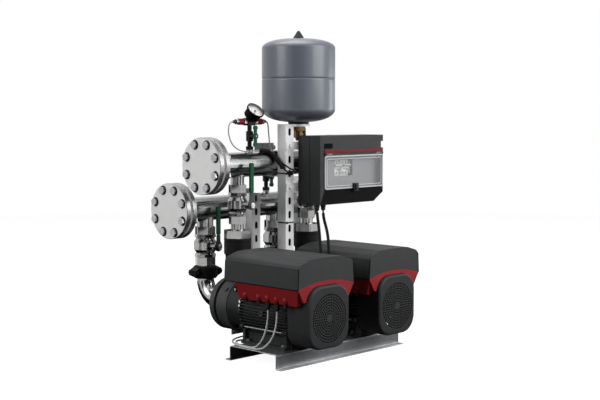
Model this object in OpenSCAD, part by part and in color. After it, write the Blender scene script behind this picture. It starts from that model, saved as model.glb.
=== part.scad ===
// Booster pump set: two horizontal multistage pumps with drive motors on a folded base,
// joined by a suction and a discharge manifold, with valves, tank, gauge and cabinet.
// X runs along the manifolds, Y from the fan ends to the suction ends, Z is up.
// The origin is on the floor, at the centre of the base's floor bolts.

/* [Set] */
// Distance between the two pump shafts
pump_pitch = 357; // [350:1:370]
// Height of the pump shafts above the floor
axis_z = 170; // [168:0.5:174]
// Distance from the base centre to the fan cover's face
fan_end = 223; // [221:0.5:228]
// Distance from the base centre to the discharge branches
port_y = 223; // [220:0.5:226]
// Distance from the base centre to the suction branches
suction_y = 397; // [392:0.5:404]
// Height of the discharge manifold
discharge_z = 668; // [660:1:680]
// Height of the suction manifold
suction_z = 502; // [498:1:510]

/* [Base] */
// Length of the base rail
base_l = 642; // [620:1:680]
// Width of the base rail between the outer faces of its legs
base_w = 226; // [216:1:232]
// Height of the base rails
base_h = 52; // [48:0.5:56]
// Width of the foot flanges
foot_w = 24; // [22:0.5:30]
// Sheet thickness of the base rails
base_t = 3; // [2:0.25:3]
// Length of the rear rail
rail_l = 160; // [140:1:180]
// Depth of the rear rail's section
rail_h = 28; // [24:0.5:32]
// Width of the rear rail between the outer faces of its legs
rail_w = 66; // [62:1:70]
// Spacing of the floor bolts along X
floor_bolt_x = 580; // [560:1:600]
// Radius of the floor bolt holes
floor_hole_r = 7; // [5:0.25:8]

/* [Posts] */
// Side of the square slotted posts
strut = 41.3; // [40:0.1:42]
// Wall of the posts
strut_t = 2.5; // [2:0.1:3]
// Height of the tank post's top
tank_post_top = 803; // [798:1:810]
// Height of the manifold post's top
manifold_post_top = 553; // [551:1:570]
// Length of the post slots
slot_l = 28; // [24:0.5:30]
// Width of the post slots
slot_w = 13; // [11:0.5:14]
// Pitch of the post slots
slot_pitch = 50; // [45:1:55]

/* [Pipework] */
// Outside diameter of the manifolds
pipe_od = 88.9; // [86:0.1:90]
// Wall of the pipes
pipe_t = 3; // [2:0.1:3.6]
// Half length of the manifolds, between flange faces
manifold_half = 329; // [325:1:340]
// Diameter of the flanges
flange_od = 200; // [196:1:210]
// Thickness of the flanges
flange_t = 20; // [18:0.5:22]
// Pitch circle of the flange bolts
flange_pcd = 160; // [158:0.5:164]
// Radius of the flange bolt holes
flange_hole_r = 9; // [8.9:0.1:9.5]
// Radius of the bolt holes at the closed ends
blind_hole_r = 8.4; // [8.2:0.1:8.5]
// Outside diameter of the discharge branches
discharge_od = 48.3; // [46:0.1:50]
// Outside diameter of the suction branches
suction_od = 60.3; // [58:0.1:62]
// Height of the discharge valves' centres
discharge_valve_z = 527; // [524:1:530]
// Height of the suction valves' centres
suction_valve_z = 366; // [364:1:368]
// Half length of an isolating valve's body
valve_half = 42; // [40:0.5:44]
// Height of a union nut
nut_h = 28; // [24:0.5:29]
// Distance from a branch's axis to its valve lever
lever_plane = 72; // [70:0.5:76]
// Length of a valve lever above its stem
lever_l = 150; // [120:1:152]
// Centre radius of the suction elbows
elbow_r = 76; // [72:0.5:80]
// Height of the grooved couplings' centres
coupling_z = 269; // [266:0.5:272]
// Height of the check valves' bodies above the pump ports
check_h = 140; // [136:1:146]
// Lift of the check valves' poppets
poppet_lift = 10; // [6:0.5:14]

/* [Pump] */
// Radius of the pump casing
casing_r = 95; // [92:0.5:97]
// Distance from the base centre to the casing's joint with the motor flange
casing_y0 = 182; // [178:0.5:184]
// Distance from the base centre to the casing's rear face
casing_y1 = 276; // [272:0.5:280]
// Height of the discharge port above the shaft
port_h = 97; // [95:0.5:99]
// Radius of the finned motor body
motor_r = 84; // [82:0.5:86]
// Radius over the motor's fins
fin_r = 98; // [94:0.5:99]
// Distance from the base centre to the motor's drive end
motor_y1 = 122; // [120:0.5:126]
// Distance from the base centre to the motor's fan end
motor_y0 = 118; // [114:0.5:120]
// Width of the fan cover
fan_w = 198; // [192:1:200]
// Height of the fan cover
fan_h = 213; // [208:1:214]
// Depth of the fan cover
fan_depth = 100; // [96:1:103]
// Radius of the fan grille
grille_r = 83; // [78:0.5:85]
// Number of hole rings in the fan grille
grille_rings = 8; // [5:1:9]

/* [Drive box] */
// Width of the drive cover
box_w = 276; // [270:1:290]
// Distance from the base centre to the drive cover's front
box_front = 209; // [206:0.5:212]
// Distance from the base centre to the drive cover's rear
box_rear = 145; // [138:0.5:148]
// Height of the drive cover's lower edge
box_z0 = 275.5; // [275:0.5:278]
// Height of the drive cover's top
box_z1 = 374; // [366:0.5:382]
// Height of the red tray's lower edge
tray_z0 = 218; // [214:0.5:224]
// Distance from the base centre to the tray's rear
tray_rear = 89; // [80:0.5:96]
// Rise of the arch in the cover's front
arch_rise = 21; // [16:0.5:24]

/* [Tank] */
// Radius of the tank
tank_r = 134; // [128:0.5:138]
// Distance of the tank's axis from the post
tank_x = 68; // [60:1:72]
// Height of the tank's lower end above the post
tank_seat = 15; // [15:0.5:20]
// Height of the tank's body
tank_h = 304.6; // [290:0.2:320]
// Wall of the tank
tank_t = 2; // [1.5:0.1:3]

/* [Gauge] */
// Distance of the gauge stack from the centre plane
gauge_x = 118; // [114:1:122]
// Radius of the pressure gauge
gauge_r = 31.5; // [30:0.5:34]
// Distance of the switch stack from the centre plane
switch_x = 136; // [132:1:140]

/* [Cabinet] */
// Distance of the cabinet's left side from the centre plane
cab_x0 = 41; // [36:1:44]
// Width of the cabinet
cab_w = 350; // [345:1:370]
// Height of the cabinet's lower edge
cab_z0 = 521; // [516:1:526]
// Height of the cabinet
cab_h = 249; // [244:1:260]
// Distance from the base centre to the cabinet's front
cab_front = 24; // [20:0.5:28]
// Wall of the cabinet
cab_t = 3; // [2.5:0.1:4]

/* [Hidden] */
$fn = 64;

// Radii of the sensor leads, the grey loops and the power leads
lead_r = 2.3;
loop_r = 3;
power_r = 3.2;

// Clearances
eps = 0.5;
run_gap = 0.05;
fit_gap = 0.15;
seat_gap = 0.3;

// Places shared by several pieces
pipe_r = pipe_od / 2;
pump_x = pump_pitch / 2;
tank_post_y = port_y - pipe_r - seat_gap - strut;
manifold_post_y = suction_y - pipe_r - seat_gap - strut;
rail_y = manifold_post_y + strut / 2;
floor_bolt_y = base_w + foot_w;
tie_t = 5;
rail_foot = 25;
slot_first = 19.5;
bar_slots = [1, 4];
loop_holes = [56, 76];
tank_post_foot = base_t + tie_t;
tank_y = tank_post_y + strut / 2;
shelf_t = 8;

// Flange joints
collar_r = 69;
collar_t = 6;
gasket_t = 2;
flange_bolts = 8;
bolt_r = 8;
bolt_head_h = 10;
bolt_nut_h = 13;
bolt_hex_r = 13.9;
flange_back = manifold_half - collar_t - flange_t;
blind_face = manifold_half + gasket_t + flange_t;

// Valves and risers
stem_r = 7;
lever_t = 5;
lever_w = 10;
sleeve_w = 16;
sleeve_t = 8;
sleeve_z = 44;
port_z = axis_z + port_h;
check_top = port_z + check_h;
big_nut_h = 28;
big_nut_r = 52;
check_bore = 22;
chamber_r = 38;
seat_z = port_z + 51;
chamber_top = check_top - 9;
poppet_t = 6;
spring_wire = 3;
spring_r = 22;
groove_gap = 1.5;
suction_face = casing_y1 + 14;

// Motor and pump insides
core_y0 = -45;
core_y1 = 85;
stator_r = 72;
bore_r = 46;
shaft_r = 13;
nde_seat_r = 26;
nde_shaft_r = 12;
de_seat_r = 31;
de_shaft_r = 15;
bearing_w = 14;
seal_r = 24;
seal_l = 10;
cavity_r = 78;
cavity_y1 = casing_y1 - 14;
stages = 3;
stage_pitch = (cavity_y1 - casing_y0 - 10) / stages;
impeller_r = 66;
motor_foot_x = 66;
motor_foot_w = 30;
motor_foot_h = 10;
foot_web_x = 50;
foot_bolt_r = 5;
foot_bolt_y = [-70, 100];
flange_ring = casing_r - 9;
stay_r = 3;
stay_ring = fin_r + 9;
stay_angles = [31, 149];
port_boss_r = 36;
fan_r = 78;
fan_corner = 62;
fan_wall = 3;
fan_lift = 4.5;
grille_hole = 3.2;
grille_pitch = (grille_r - grille_hole - 17) / (grille_rings - 1);
tray_floor = axis_z + 100;
pad_w = 100;
pad_y0 = -90;
pad_l = 160;
tray_t = 4;
cover_t = 4;
arch_r = (pow(box_w / 2, 2) + pow(arch_rise, 2)) / (2 * arch_rise);
gland_bore = power_r + seat_gap;
side_gland_y = [-53, -95];
side_gland_x = box_w / 2 - 17;
cab_gland_x = [58, 90];
cab_gland_y = 55;

// Tank
tank_axis = [tank_x, tank_y];
tank_z0 = tank_post_top + tank_seat;
tank_stem_z = tank_post_top - 30.2;
tank_stem_r = 4;
tank_neck_r = 16.5;
tank_seam = tank_z0 + 158;
tank_top = tank_z0 + tank_h;
dome_lo = 38;
dome_hi = 33;

// Gauge stack
stack_base = discharge_z + pipe_r + 8;
mini_valve_z = discharge_z + 101;
tee_z = discharge_z + 153;
handle_y = port_y - 30;
gauge_back = [-gauge_x, port_y - 8, tee_z + 17];
gauge_depth = 36;
gauge_tilt = 45;
switch_base = suction_z + pipe_r + 8;
switch_valve_z = suction_z + 105;
switch_handle_y = suction_y - 30;

// Cabinet
cab_back = tank_post_y - 4;
cab_mid = port_y - flange_od / 2 - 1.5;
pan_x1 = flange_back - 10;
cab_x1 = cab_x0 + cab_w;
cab_z1 = cab_z0 + cab_h;
window_x0 = cab_x0 + 20;
window_x1 = cab_x1 - 5;
window_z0 = cab_z0 + 53;
hinge_rise = 182;
hinge_z = cab_z0 + hinge_rise;
hinge_y = cab_front - 4;
window_t = 4;
knuckle_r = 4;
knuckle_l = 30;
pin_r = 1.5;
strip_z0 = hinge_z + 5;
strip_h = 11;
breaker_x0 = cab_x0 + 109;
breaker_w = 46;
breaker_gap = 4;
breaker_y = cab_front + 40;
breaker_z = cab_z0 + 130;
breaker_h = 82;
panel_y = cab_front + 28;
toggle_r = 6;

// Cable routes, as points along each lead
route_left_sensor = [
    [-190, 223, 821], [-200, 223, 821], [-212, 223, 817], [-221, 222, 800], [-220, 221, 772],
    [-205, 216, 738], [-176, 209, 719], [-130, 205, 716], [-70, 203, 716], [-44, 188, 707],
    [-34, 166, 686], [-27, 146, 670], [-21.5, 130, 660], [-19.3, 119, 654], [-14.9, 114.6, 651],
    [-8.9, 113, 648], [-2.9, 114.6, 645], [1.5, 119, 642.5], [3.1, 125, 640.5], [3.1, 133, 639],
    [3.1, 142, 638.5]
];
route_right_sensor = [
    [-46, 223, 821], [-36, 223, 821], [-28, 223, 816], [-25, 222, 800], [-26, 217, 766],
    [-30, 204, 726], [-29, 185, 703], [-27.5, 162, 675], [-28, 145, 657], [-27.6, 131, 646],
    [-25.5, 119, 639.5], [-21.1, 114.6, 636.5], [-15.1, 113, 634], [-9.1, 114.6, 632],
    [-4.7, 119, 630.5], [-3.1, 125, 629.5], [-3.1, 133, 629], [-3.1, 142, 629]
];
route_loop_back = [
    [-299.5, -53, 202], [-299.5, -53, 184], [-302, -47, 130], [-306, -28, 86],
    [-306, 2, 61], [-304, 46, 55.3], [-296, 90, 55.3], [-272, 134, 56],
    [-238, 152, 54], [-195, 156, 50], [-100, 157, 52], [-17, 157.5, 56]
];
route_loop_front = [
    [-299.5, -95, 202], [-299.5, -95, 184], [-303, -89, 130], [-309, -68, 86],
    [-312, -36, 62], [-312, 4, 55.3], [-311, 50, 55.3], [-302, 100, 55.3],
    [-276, 147, 58], [-238, 164, 61], [-195, 166, 63], [-100, 163, 72], [-17, 157.5, 76]
];
route_power_left = [
    [58, 55, 508], [58, 55, 496], [46, 38.5, 460], [34, 20.5, 416], [13, -6.5, 343],
    [5, -23, 280], [4.5, -38, 215], [4.5, -44, 178], [0.35, -46, 162.5], [-11, -48, 151.2],
    [-26.5, -49.5, 147], [-42, -51, 151.2], [-53.3, -52, 162.5], [-57.5, -53, 178],
    [-57.5, -53, 190], [-57.5, -53, 202]
];
route_power_right = [
    [90, 55, 508], [90, 55, 500], [87, 51, 485], [77, 38.5, 469], [62, 19, 454], [43, -11, 416],
    [29, -28.5, 372], [23, -38, 320], [12, -55, 260], [0, -73, 212], [-6, -84, 178],
    [-1.75, -87, 162.1], [9.9, -89.5, 150.5], [25.75, -91.5, 146.25], [41.6, -93, 150.5],
    [53.25, -94.5, 162.1], [57.5, -95, 178], [57.5, -95, 190], [57.5, -95, 202]
];

// Sweeps a round tube along a list of points
function unit(v) = v / norm(v);
function heading(p, i) = unit(p[min(i + 1, len(p) - 1)] - p[max(i - 1, 0)]);
function ring(p, i, r, n, ref) =
    let (t = heading(p, i), u = unit(cross(t, ref)), v = cross(t, u))
    [for (k = [0 : n - 1]) p[i] + r * (cos(360 * k / n) * u + sin(360 * k / n) * v)];

module tube(p, r, n = 8, ref = [0.9, 0.1, 0.4]) {
    m = len(p);
    points = [for (i = [0 : m - 1]) each ring(p, i, r, n, ref)];
    sides = [
        for (i = [0 : m - 2], k = [0 : n - 1])
        let (a = i * n + k, b = i * n + (k + 1) % n)
        each [[a, a + n, b + n], [a, b + n, b]]
    ];
    start = [for (k = [0 : n - 1]) k];
    finish = [for (k = [n - 1 : -1 : 0]) (m - 1) * n + k];
    polyhedron(points = points, faces = concat([start], sides, [finish]));
}

// Points of a helical spring on the Z axis
function helix(r, z0, z1, turns, per_turn) =
    [for (i = [0 : turns * per_turn])
        let (a = 360 * i / per_turn)
        [r * cos(a), r * sin(a), z0 + (z1 - z0) * i / (turns * per_turn)]];

// Helpers that turn a Z-built shape towards another axis
module along_y() {
    rotate([-90, 0, 0]) children();
}

module along_x() {
    rotate([0, 90, 0]) children();
}

// Extrudes a section drawn in the XZ plane from one Y to another
module prism_y(y0, y1) {
    translate([0, y1, 0]) rotate([90, 0, 0]) linear_extrude(y1 - y0) children();
}

// Extrudes a section drawn in the YZ plane from one X to another
module prism_x(x0, x1) {
    translate([x0, 0, 0]) rotate([90, 0, 90]) linear_extrude(x1 - x0) children();
}

module both_pumps() {
    for (side = [-1, 1]) translate([side * pump_x, 0, 0]) children();
}

module pump_shaft_line() {
    translate([0, 0, axis_z]) along_y() children();
}

module at_discharge() {
    both_pumps() translate([0, port_y, 0]) children();
}

module at_suction() {
    both_pumps() translate([0, suction_y, 0]) children();
}

module pipe(r, t, h) {
    difference() {
        cylinder(r = r, h = h);
        translate([0, 0, -eps]) cylinder(r = r - t, h = h + 2 * eps);
    }
}

module ring_disc(r, hole, h) {
    difference() {
        cylinder(r = r, h = h);
        translate([0, 0, -eps]) cylinder(r = hole, h = h + 2 * eps);
    }
}

module hex_ring(corner, hole, h) {
    difference() {
        intersection() {
            cylinder(r = corner, h = h, $fn = 6);
            cylinder(r = corner * 0.965, h = h);
        }
        translate([0, 0, -eps]) cylinder(r = hole, h = h + 2 * eps);
    }
}

// A rounded rectangle made of straight edges and true arcs
module round_rect(w, h, r) {
    square([w - 2 * r, h], center = true);
    square([w, h - 2 * r], center = true);
    for (x = [-1, 1], y = [-1, 1]) translate([x * (w / 2 - r), y * (h / 2 - r)]) circle(r);
}

module slot_shape(l, w) {
    square([w, l - w], center = true);
    for (s = [-1, 1]) translate([0, s * (l - w) / 2]) circle(w / 2);
}

// Folded base rails
module hat_section(w, h, foot, t) {
    difference() {
        union() {
            translate([-w / 2, 0]) square([w, h - 2 * t]);
            translate([-w / 2 + 2 * t, 0]) square([w - 4 * t, h]);
            for (s = [-1, 1]) translate([s * (w / 2 - 2 * t), h - 2 * t]) circle(2 * t);
            translate([-w / 2 - foot, 0]) square([w + 2 * foot, t]);
        }
        translate([-w / 2 + t, -eps]) square([w - 2 * t, h - 2 * t + eps]);
        translate([-w / 2 + 2 * t, 0]) square([w - 4 * t, h - t]);
        for (s = [-1, 1]) translate([s * (w / 2 - 2 * t), h - 2 * t]) circle(t);
    }
}

module base_frame() color("silver") {
    difference() {
        prism_x(-base_l / 2, base_l / 2) hat_section(base_w, base_h, foot_w, base_t);
        for (x = [-1, 1], y = [-1, 1])
            translate([x * floor_bolt_x / 2, y * floor_bolt_y / 2, -eps])
                cylinder(r = floor_hole_r, h = base_t + 2 * eps);
        both_pumps() for (x = [-1, 1], y = foot_bolt_y)
            translate([x * motor_foot_x, y, base_h - base_t - eps])
                cylinder(r = foot_bolt_r + 0.5, h = base_t + 2 * eps);
    }
    translate([0, rail_y, base_h - rail_h])
        prism_x(-rail_l / 2, rail_l / 2) hat_section(rail_w, rail_h, 0, base_t);
    translate([0, rail_y, 0])
        prism_x(-rail_foot, rail_foot) hat_section(30, base_h - base_t, 12, base_t);
}

// Slotted posts, with the slotted web to the front and the open side to the manifold
module strut_section() {
    lip = 7.5;
    difference() {
        translate([-strut / 2, 0]) square([strut, strut]);
        translate([-strut / 2 + strut_t, strut_t])
            square([strut - 2 * strut_t, strut - 2 * strut_t]);
        translate([-strut / 2 + lip, strut / 2]) square([strut - 2 * lip, strut]);
    }
}

function slot_z(i) = tank_post_top - slot_first - i * slot_pitch;

module slotted_post(z0, z1) {
    count = floor((z1 - z0 - 2 * slot_first) / slot_pitch) + 1;
    difference() {
        translate([0, 0, z0]) linear_extrude(z1 - z0) strut_section();
        for (i = [0 : count - 1]) translate([0, 0, z1 - slot_first - i * slot_pitch])
            prism_y(-eps, strut_t + eps) slot_shape(slot_l, slot_w);
    }
}

module posts() color("whitesmoke") {
    difference() {
        translate([0, tank_post_y, 0]) slotted_post(tank_post_foot, tank_post_top);
        for (z = loop_holes) translate([-strut / 2 - eps, tank_y, z])
            along_x() cylinder(r = loop_r + seat_gap, h = strut_t + 2 * eps);
    }
    translate([0, manifold_post_y, 0]) slotted_post(base_h, manifold_post_top);
}

// Brackets: tie plate, foot cleats, pipe clamps, cabinet bars and tank shelf
module cleat(z, y) {
    leg = 38;
    t = 4;
    depth = 30;
    for (s = [-1, 1]) translate([s * strut / 2, y + (strut - depth) / 2, z]) {
        translate([s > 0 ? 0 : -leg, 0, 0]) cube([leg, depth, t]);
        translate([s > 0 ? 0 : -t, 0, 0]) cube([t, depth, leg]);
    }
}

module pipe_clamp(y, z, face) {
    wide = 30;
    t = 3;
    ear = 24;
    r0 = pipe_r + fit_gap;
    r1 = r0 + t;
    translate([0, y, z]) prism_x(-wide / 2, wide / 2) difference() {
        union() {
            intersection() {
                circle(r1);
                translate([0, -r1]) square([r1, 2 * r1]);
            }
            for (s = [-1, 1]) {
                translate([face - y, s > 0 ? r1 - t : -r1]) square([y - face, t]);
                translate([face - y, s > 0 ? r1 - t : -r1 - ear + t]) square([t, ear]);
            }
        }
        circle(r0);
    }
}

module brackets() color("gainsboro") {
    tie_w = 130;
    tie_y0 = base_w / 2 + 2;
    tie_y1 = rail_y - 15 - 1;
    translate([-tie_w / 2, tie_y0, base_t]) cube([tie_w, tie_y1 - tie_y0, tie_t]);
    cleat(tank_post_foot, tank_post_y);
    cleat(base_h, manifold_post_y);
    pipe_clamp(port_y, discharge_z, tank_post_y + strut);
    pipe_clamp(suction_y, suction_z, manifold_post_y + strut);
    bar_h = 30;
    for (i = bar_slots) translate([0, cab_back, slot_z(i)]) difference() {
        translate([-strut / 2, 0, -bar_h / 2]) cube([pan_x1 - 4 + strut / 2, 4, bar_h]);
        translate([0, -eps, 0]) along_y() cylinder(r = 5.5, h = 4 + 2 * eps);
    }
    shelf_w = strut;
    shelf_end = tank_x + 39;
    difference() {
        union() {
            translate([-strut / 2, tank_post_y, tank_post_top])
                cube([shelf_end + strut / 2, shelf_w, shelf_t]);
            translate([tank_x, tank_y, tank_post_top]) cylinder(r = 38, h = shelf_t);
        }
        translate([tank_x, tank_y, tank_post_top - eps])
            cylinder(r = tank_neck_r + 0.5, h = shelf_t + 2 * eps);
    }
}

// Manifolds with stub ends, branches and a sensor boss
module manifold(od, drop, boss_x, tank_boss) {
    difference() {
        union() {
            translate([-manifold_half, 0, 0]) along_x() cylinder(r = pipe_r, h = 2 * manifold_half);
            for (s = [-1, 1]) translate([s > 0 ? manifold_half - collar_t : -manifold_half, 0, 0])
                along_x() cylinder(r = collar_r, h = collar_t);
            both_pumps() translate([0, 0, -drop]) cylinder(r = od / 2, h = drop);
            translate([boss_x, 0, 0]) cylinder(r = 13, h = pipe_r + 8);
            if (tank_boss) translate([tank_x, 0, 0]) cylinder(r = 13, h = pipe_r + 8);
        }
        translate([-manifold_half - eps, 0, 0])
            along_x() cylinder(r = pipe_r - pipe_t, h = 2 * (manifold_half + eps));
        both_pumps() translate([0, 0, -drop - eps]) cylinder(r = od / 2 - pipe_t, h = drop + eps);
        translate([boss_x, 0, 0]) cylinder(r = 5, h = pipe_r + 8 + eps);
        if (tank_boss) translate([tank_x, 0, 0]) cylinder(r = 5, h = pipe_r + 8 + eps);
    }
}

module discharge_manifold() color("lightgray")
    translate([0, port_y, discharge_z])
        manifold(discharge_od, discharge_z - discharge_valve_z - valve_half, -gauge_x, true);

module suction_manifold() color("lightgray")
    translate([0, suction_y, suction_z])
        manifold(suction_od, suction_z - suction_valve_z - valve_half, switch_x, false);

module at_manifolds() {
    translate([0, port_y, discharge_z]) children();
    translate([0, suction_y, suction_z]) children();
}

module bolt_circle() {
    for (i = [0 : flange_bolts - 1]) rotate([0, 0, 360 * (i + 0.5) / flange_bolts])
        translate([flange_pcd / 2, 0, 0]) children();
}

module flange_disc(hole, bolt_hole) {
    chamfer = 1.5;
    difference() {
        rotate_extrude() polygon([
            [0, 0], [flange_od / 2 - chamfer, 0], [flange_od / 2, chamfer],
            [flange_od / 2, flange_t - chamfer], [flange_od / 2 - chamfer, flange_t], [0, flange_t]
        ]);
        if (hole > 0) translate([0, 0, -eps]) cylinder(r = hole, h = flange_t + 2 * eps);
        bolt_circle() translate([0, 0, -eps]) cylinder(r = bolt_hole, h = flange_t + 2 * eps);
    }
}

// Loose flanges at both ends of each manifold, and blind flanges at the closed ends
module pipe_flanges() color("silver") at_manifolds() {
    translate([flange_back, 0, 0]) along_x() flange_disc(pipe_r + 1, flange_hole_r);
    translate([-flange_back - flange_t, 0, 0]) along_x() flange_disc(pipe_r + 1, blind_hole_r);
    translate([-blind_face, 0, 0]) along_x() flange_disc(0, blind_hole_r);
}

module flange_gaskets() color("dimgray")
    at_manifolds() translate([-manifold_half - gasket_t, 0, 0])
        along_x() ring_disc(collar_r, pipe_r, gasket_t);

// Bolts and nuts
module bolt(r, corner, head, l) {
    translate([0, 0, -head]) cylinder(r = corner, h = head, $fn = 6);
    cylinder(r = r, h = l);
}

module fasteners() color("lightsteelblue") {
    at_manifolds() translate([-blind_face, 0, 0]) along_x() bolt_circle() {
        bolt(bolt_r, bolt_hex_r, bolt_head_h, blind_face - flange_back + bolt_nut_h + 4);
        translate([0, 0, blind_face - flange_back]) hex_ring(bolt_hex_r, bolt_r + fit_gap, bolt_nut_h);
    }
    foot_nut = 8;
    both_pumps() for (x = [-1, 1], y = foot_bolt_y)
        translate([x * motor_foot_x, y, base_h + motor_foot_h]) mirror([0, 0, 1]) {
            bolt(foot_bolt_r, 9, 6, motor_foot_h + base_t + foot_nut + 2);
            translate([0, 0, motor_foot_h + base_t]) hex_ring(9, foot_bolt_r + fit_gap, foot_nut);
        }
    both_pumps() pump_shaft_line() flange_bolt_ring(casing_y0 - 12) bolt(5, 9, 7, 24);
    for (i = bar_slots) translate([0, cab_back, slot_z(i)]) along_y() {
        bolt(5, 8.5, 6, 4 + strut_t + 12);
        translate([0, 0, 4 + strut_t]) hex_ring(8.5, 5 + fit_gap, 8);
    }
    both_pumps() pump_shaft_line() for (a = stay_angles) rotate([0, 0, a]) translate([stay_ring, 0, -motor_y0 + 14])
        bolt(stay_r, 6, 5, motor_y0 + motor_y1 - 28);
}

// Isolating ball valves
function ball_bore(od) = od / 2 - 4;
function ball_r(od) = od / 2 + 3.5;
function body_r(od) = od / 2 + 11;

module valve_body(od) {
    end_r = od / 2 + 7;
    bulge = body_r(od);
    gland = lever_plane - lever_t / 2 - 3.5;
    difference() {
        union() {
            rotate_extrude() polygon([
                [0, -valve_half], [end_r - 1, -valve_half], [end_r - 1, -valve_half + 12],
                [od / 2 + 3, -valve_half + 15], [od / 2 + 4, -valve_half + 17], [bulge, -14],
                [bulge, 14], [od / 2 + 4, valve_half - 17], [od / 2 + 3, valve_half - 15],
                [end_r - 1, valve_half - 12], [end_r - 1, valve_half], [0, valve_half]
            ]);
            for (z = [-valve_half, valve_half - 11]) translate([0, 0, z])
                cylinder(r = end_r + 2, h = 11, $fn = 8);
            rotate([90, 0, 0]) cylinder(r = 14, h = gland - 6);
            translate([0, -gland + 6, 0]) rotate([90, 0, 0]) cylinder(r = 15, h = 6, $fn = 6);
        }
        translate([0, 0, -valve_half - eps]) cylinder(r = ball_bore(od), h = 2 * (valve_half + eps));
        sphere(r = ball_r(od) + seat_gap);
        rotate([90, 0, 0]) cylinder(r = stem_r + run_gap, h = gland + eps);
    }
}

module valve_bodies() color("silver") {
    at_discharge() translate([0, 0, discharge_valve_z]) valve_body(discharge_od);
    at_suction() translate([0, 0, suction_valve_z]) valve_body(suction_od);
}

// Ball with its stem, collar and lever nut
module valve_ball(od) {
    washer = 3;
    nut = 8;
    tip = lever_plane + lever_t / 2 + nut;
    difference() {
        union() {
            sphere(r = ball_r(od));
            rotate([90, 0, 0]) cylinder(r = stem_r, h = tip);
            translate([0, -lever_plane + lever_t / 2 + washer, 0])
                rotate([90, 0, 0]) cylinder(r = 10, h = washer);
            translate([0, -lever_plane - lever_t / 2, 0])
                rotate([90, 0, 0]) cylinder(r = 11, h = nut - 2, $fn = 6);
        }
        translate([0, 0, -ball_r(od)]) cylinder(r = ball_bore(od), h = 2 * ball_r(od));
    }
}

module lever_tang() {
    translate([-lever_w / 2, 0]) square([lever_w, lever_l - 14]);
}

// Flat steel lever with a moulded sleeve
module valve_lever() {
    prism_y(-lever_plane - lever_t / 2, -lever_plane + lever_t / 2) difference() {
        union() {
            circle(17);
            polygon([[-14, 8], [14, 8], [8, 22], [8, sleeve_z - 2], [-8, sleeve_z - 2], [-8, 22]]);
            lever_tang();
        }
        circle(stem_r + fit_gap);
    }
    difference() {
        prism_y(-lever_plane - sleeve_t / 2, -lever_plane + sleeve_t / 2) {
            corner = 6;
            long = lever_l - sleeve_z;
            translate([0, sleeve_z + long / 2]) round_rect(sleeve_w, long, corner);
        }
        prism_y(-lever_plane - lever_t / 2 - fit_gap, -lever_plane + lever_t / 2 + fit_gap)
            translate([-lever_w / 2 - fit_gap, 0])
                square([lever_w + 2 * fit_gap, lever_l - 14 + fit_gap]);
    }
}

module discharge_place(side) {
    translate([side * pump_x, port_y, discharge_valve_z]) children();
}

module suction_place(side) {
    translate([side * pump_x, suction_y, suction_valve_z]) children();
}

module discharge_lever_1() color("seagreen") discharge_place(-1) valve_lever();
module discharge_lever_2() color("seagreen") discharge_place(1) valve_lever();
module suction_lever_1() color("seagreen") suction_place(-1) valve_lever();
module suction_lever_2() color("seagreen") suction_place(1) valve_lever();
module discharge_ball_1() color("silver") discharge_place(-1) valve_ball(discharge_od);
module discharge_ball_2() color("silver") discharge_place(1) valve_ball(discharge_od);
module suction_ball_1() color("silver") suction_place(-1) valve_ball(suction_od);
module suction_ball_2() color("silver") suction_place(1) valve_ball(suction_od);

// Union nuts above and below each valve, and the large nut on each check valve
module nut_pair(od, z) {
    corner = od / 2 + 9.5;
    for (z0 = [z + valve_half, z - valve_half - nut_h]) translate([0, 0, z0])
        hex_ring(corner, od / 2 + fit_gap, nut_h);
}

module union_nuts() color("silver") {
    at_discharge() {
        nut_pair(discharge_od, discharge_valve_z);
        translate([0, 0, check_top]) hex_ring(big_nut_r, discharge_od / 2 + fit_gap, big_nut_h);
    }
    at_suction() nut_pair(suction_od, suction_valve_z);
}

// Check valves: body, poppet and spring
module check_valve_bodies() color("#1b1c1d") at_discharge() difference() {
    rotate_extrude() polygon([
        [0, port_z], [34, port_z], [34, port_z + 24], [44, port_z + 38], [44, port_z + 78],
        [49, port_z + 84], [49, check_top - 14], [47, check_top - 12], [49, check_top - 10],
        [49, check_top], [0, check_top]
    ]);
    translate([0, 0, port_z - eps]) cylinder(r = check_bore, h = check_h + 2 * eps - 12);
    translate([0, 0, seat_z]) cylinder(r = chamber_r, h = chamber_top - seat_z);
    translate([0, 0, chamber_top - eps]) cylinder(r = discharge_od / 2 - pipe_t, h = 10 + eps);
}

module check_poppet() {
    disc_r = 30;
    boss_r = 12;
    wing_l = 26;
    z0 = seat_z + seat_gap;
    translate([0, 0, z0]) {
        cylinder(r = disc_r, h = poppet_t);
        cylinder(r = boss_r, h = poppet_t + 10);
    }
    for (a = [0, 120, 240]) rotate([0, 0, a])
        translate([0, -1.5, z0 - wing_l]) cube([check_bore - 0.5, 3, wing_l]);
}

module check_spring() {
    z0 = seat_z + 2 * seat_gap + poppet_t + spring_wire / 2;
    z1 = chamber_top - seat_gap - spring_wire / 2;
    tube(helix(spring_r, z0, z1, 5, 12), spring_wire / 2, 6, [0, 0, 1]);
}

module check_place(side) {
    translate([side * pump_x, port_y, 0]) children();
}

module check_poppet_1() color("goldenrod") check_place(-1) check_poppet();
module check_poppet_2() color("goldenrod") check_place(1) check_poppet();
module check_spring_1() color("silver") check_place(-1) check_spring();
module check_spring_2() color("silver") check_place(1) check_spring();

// Tail pipes on the discharge side, and suction tails with their elbows
module pump_pipes() color("lightgray") {
    at_discharge() translate([0, 0, check_top])
        pipe(discharge_od / 2, pipe_t, discharge_valve_z - valve_half - check_top);
    at_suction() {
        translate([0, 0, coupling_z + groove_gap])
            pipe(suction_od / 2, pipe_t, suction_valve_z - valve_half - coupling_z - groove_gap);
        suction_elbow();
    }
}

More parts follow.
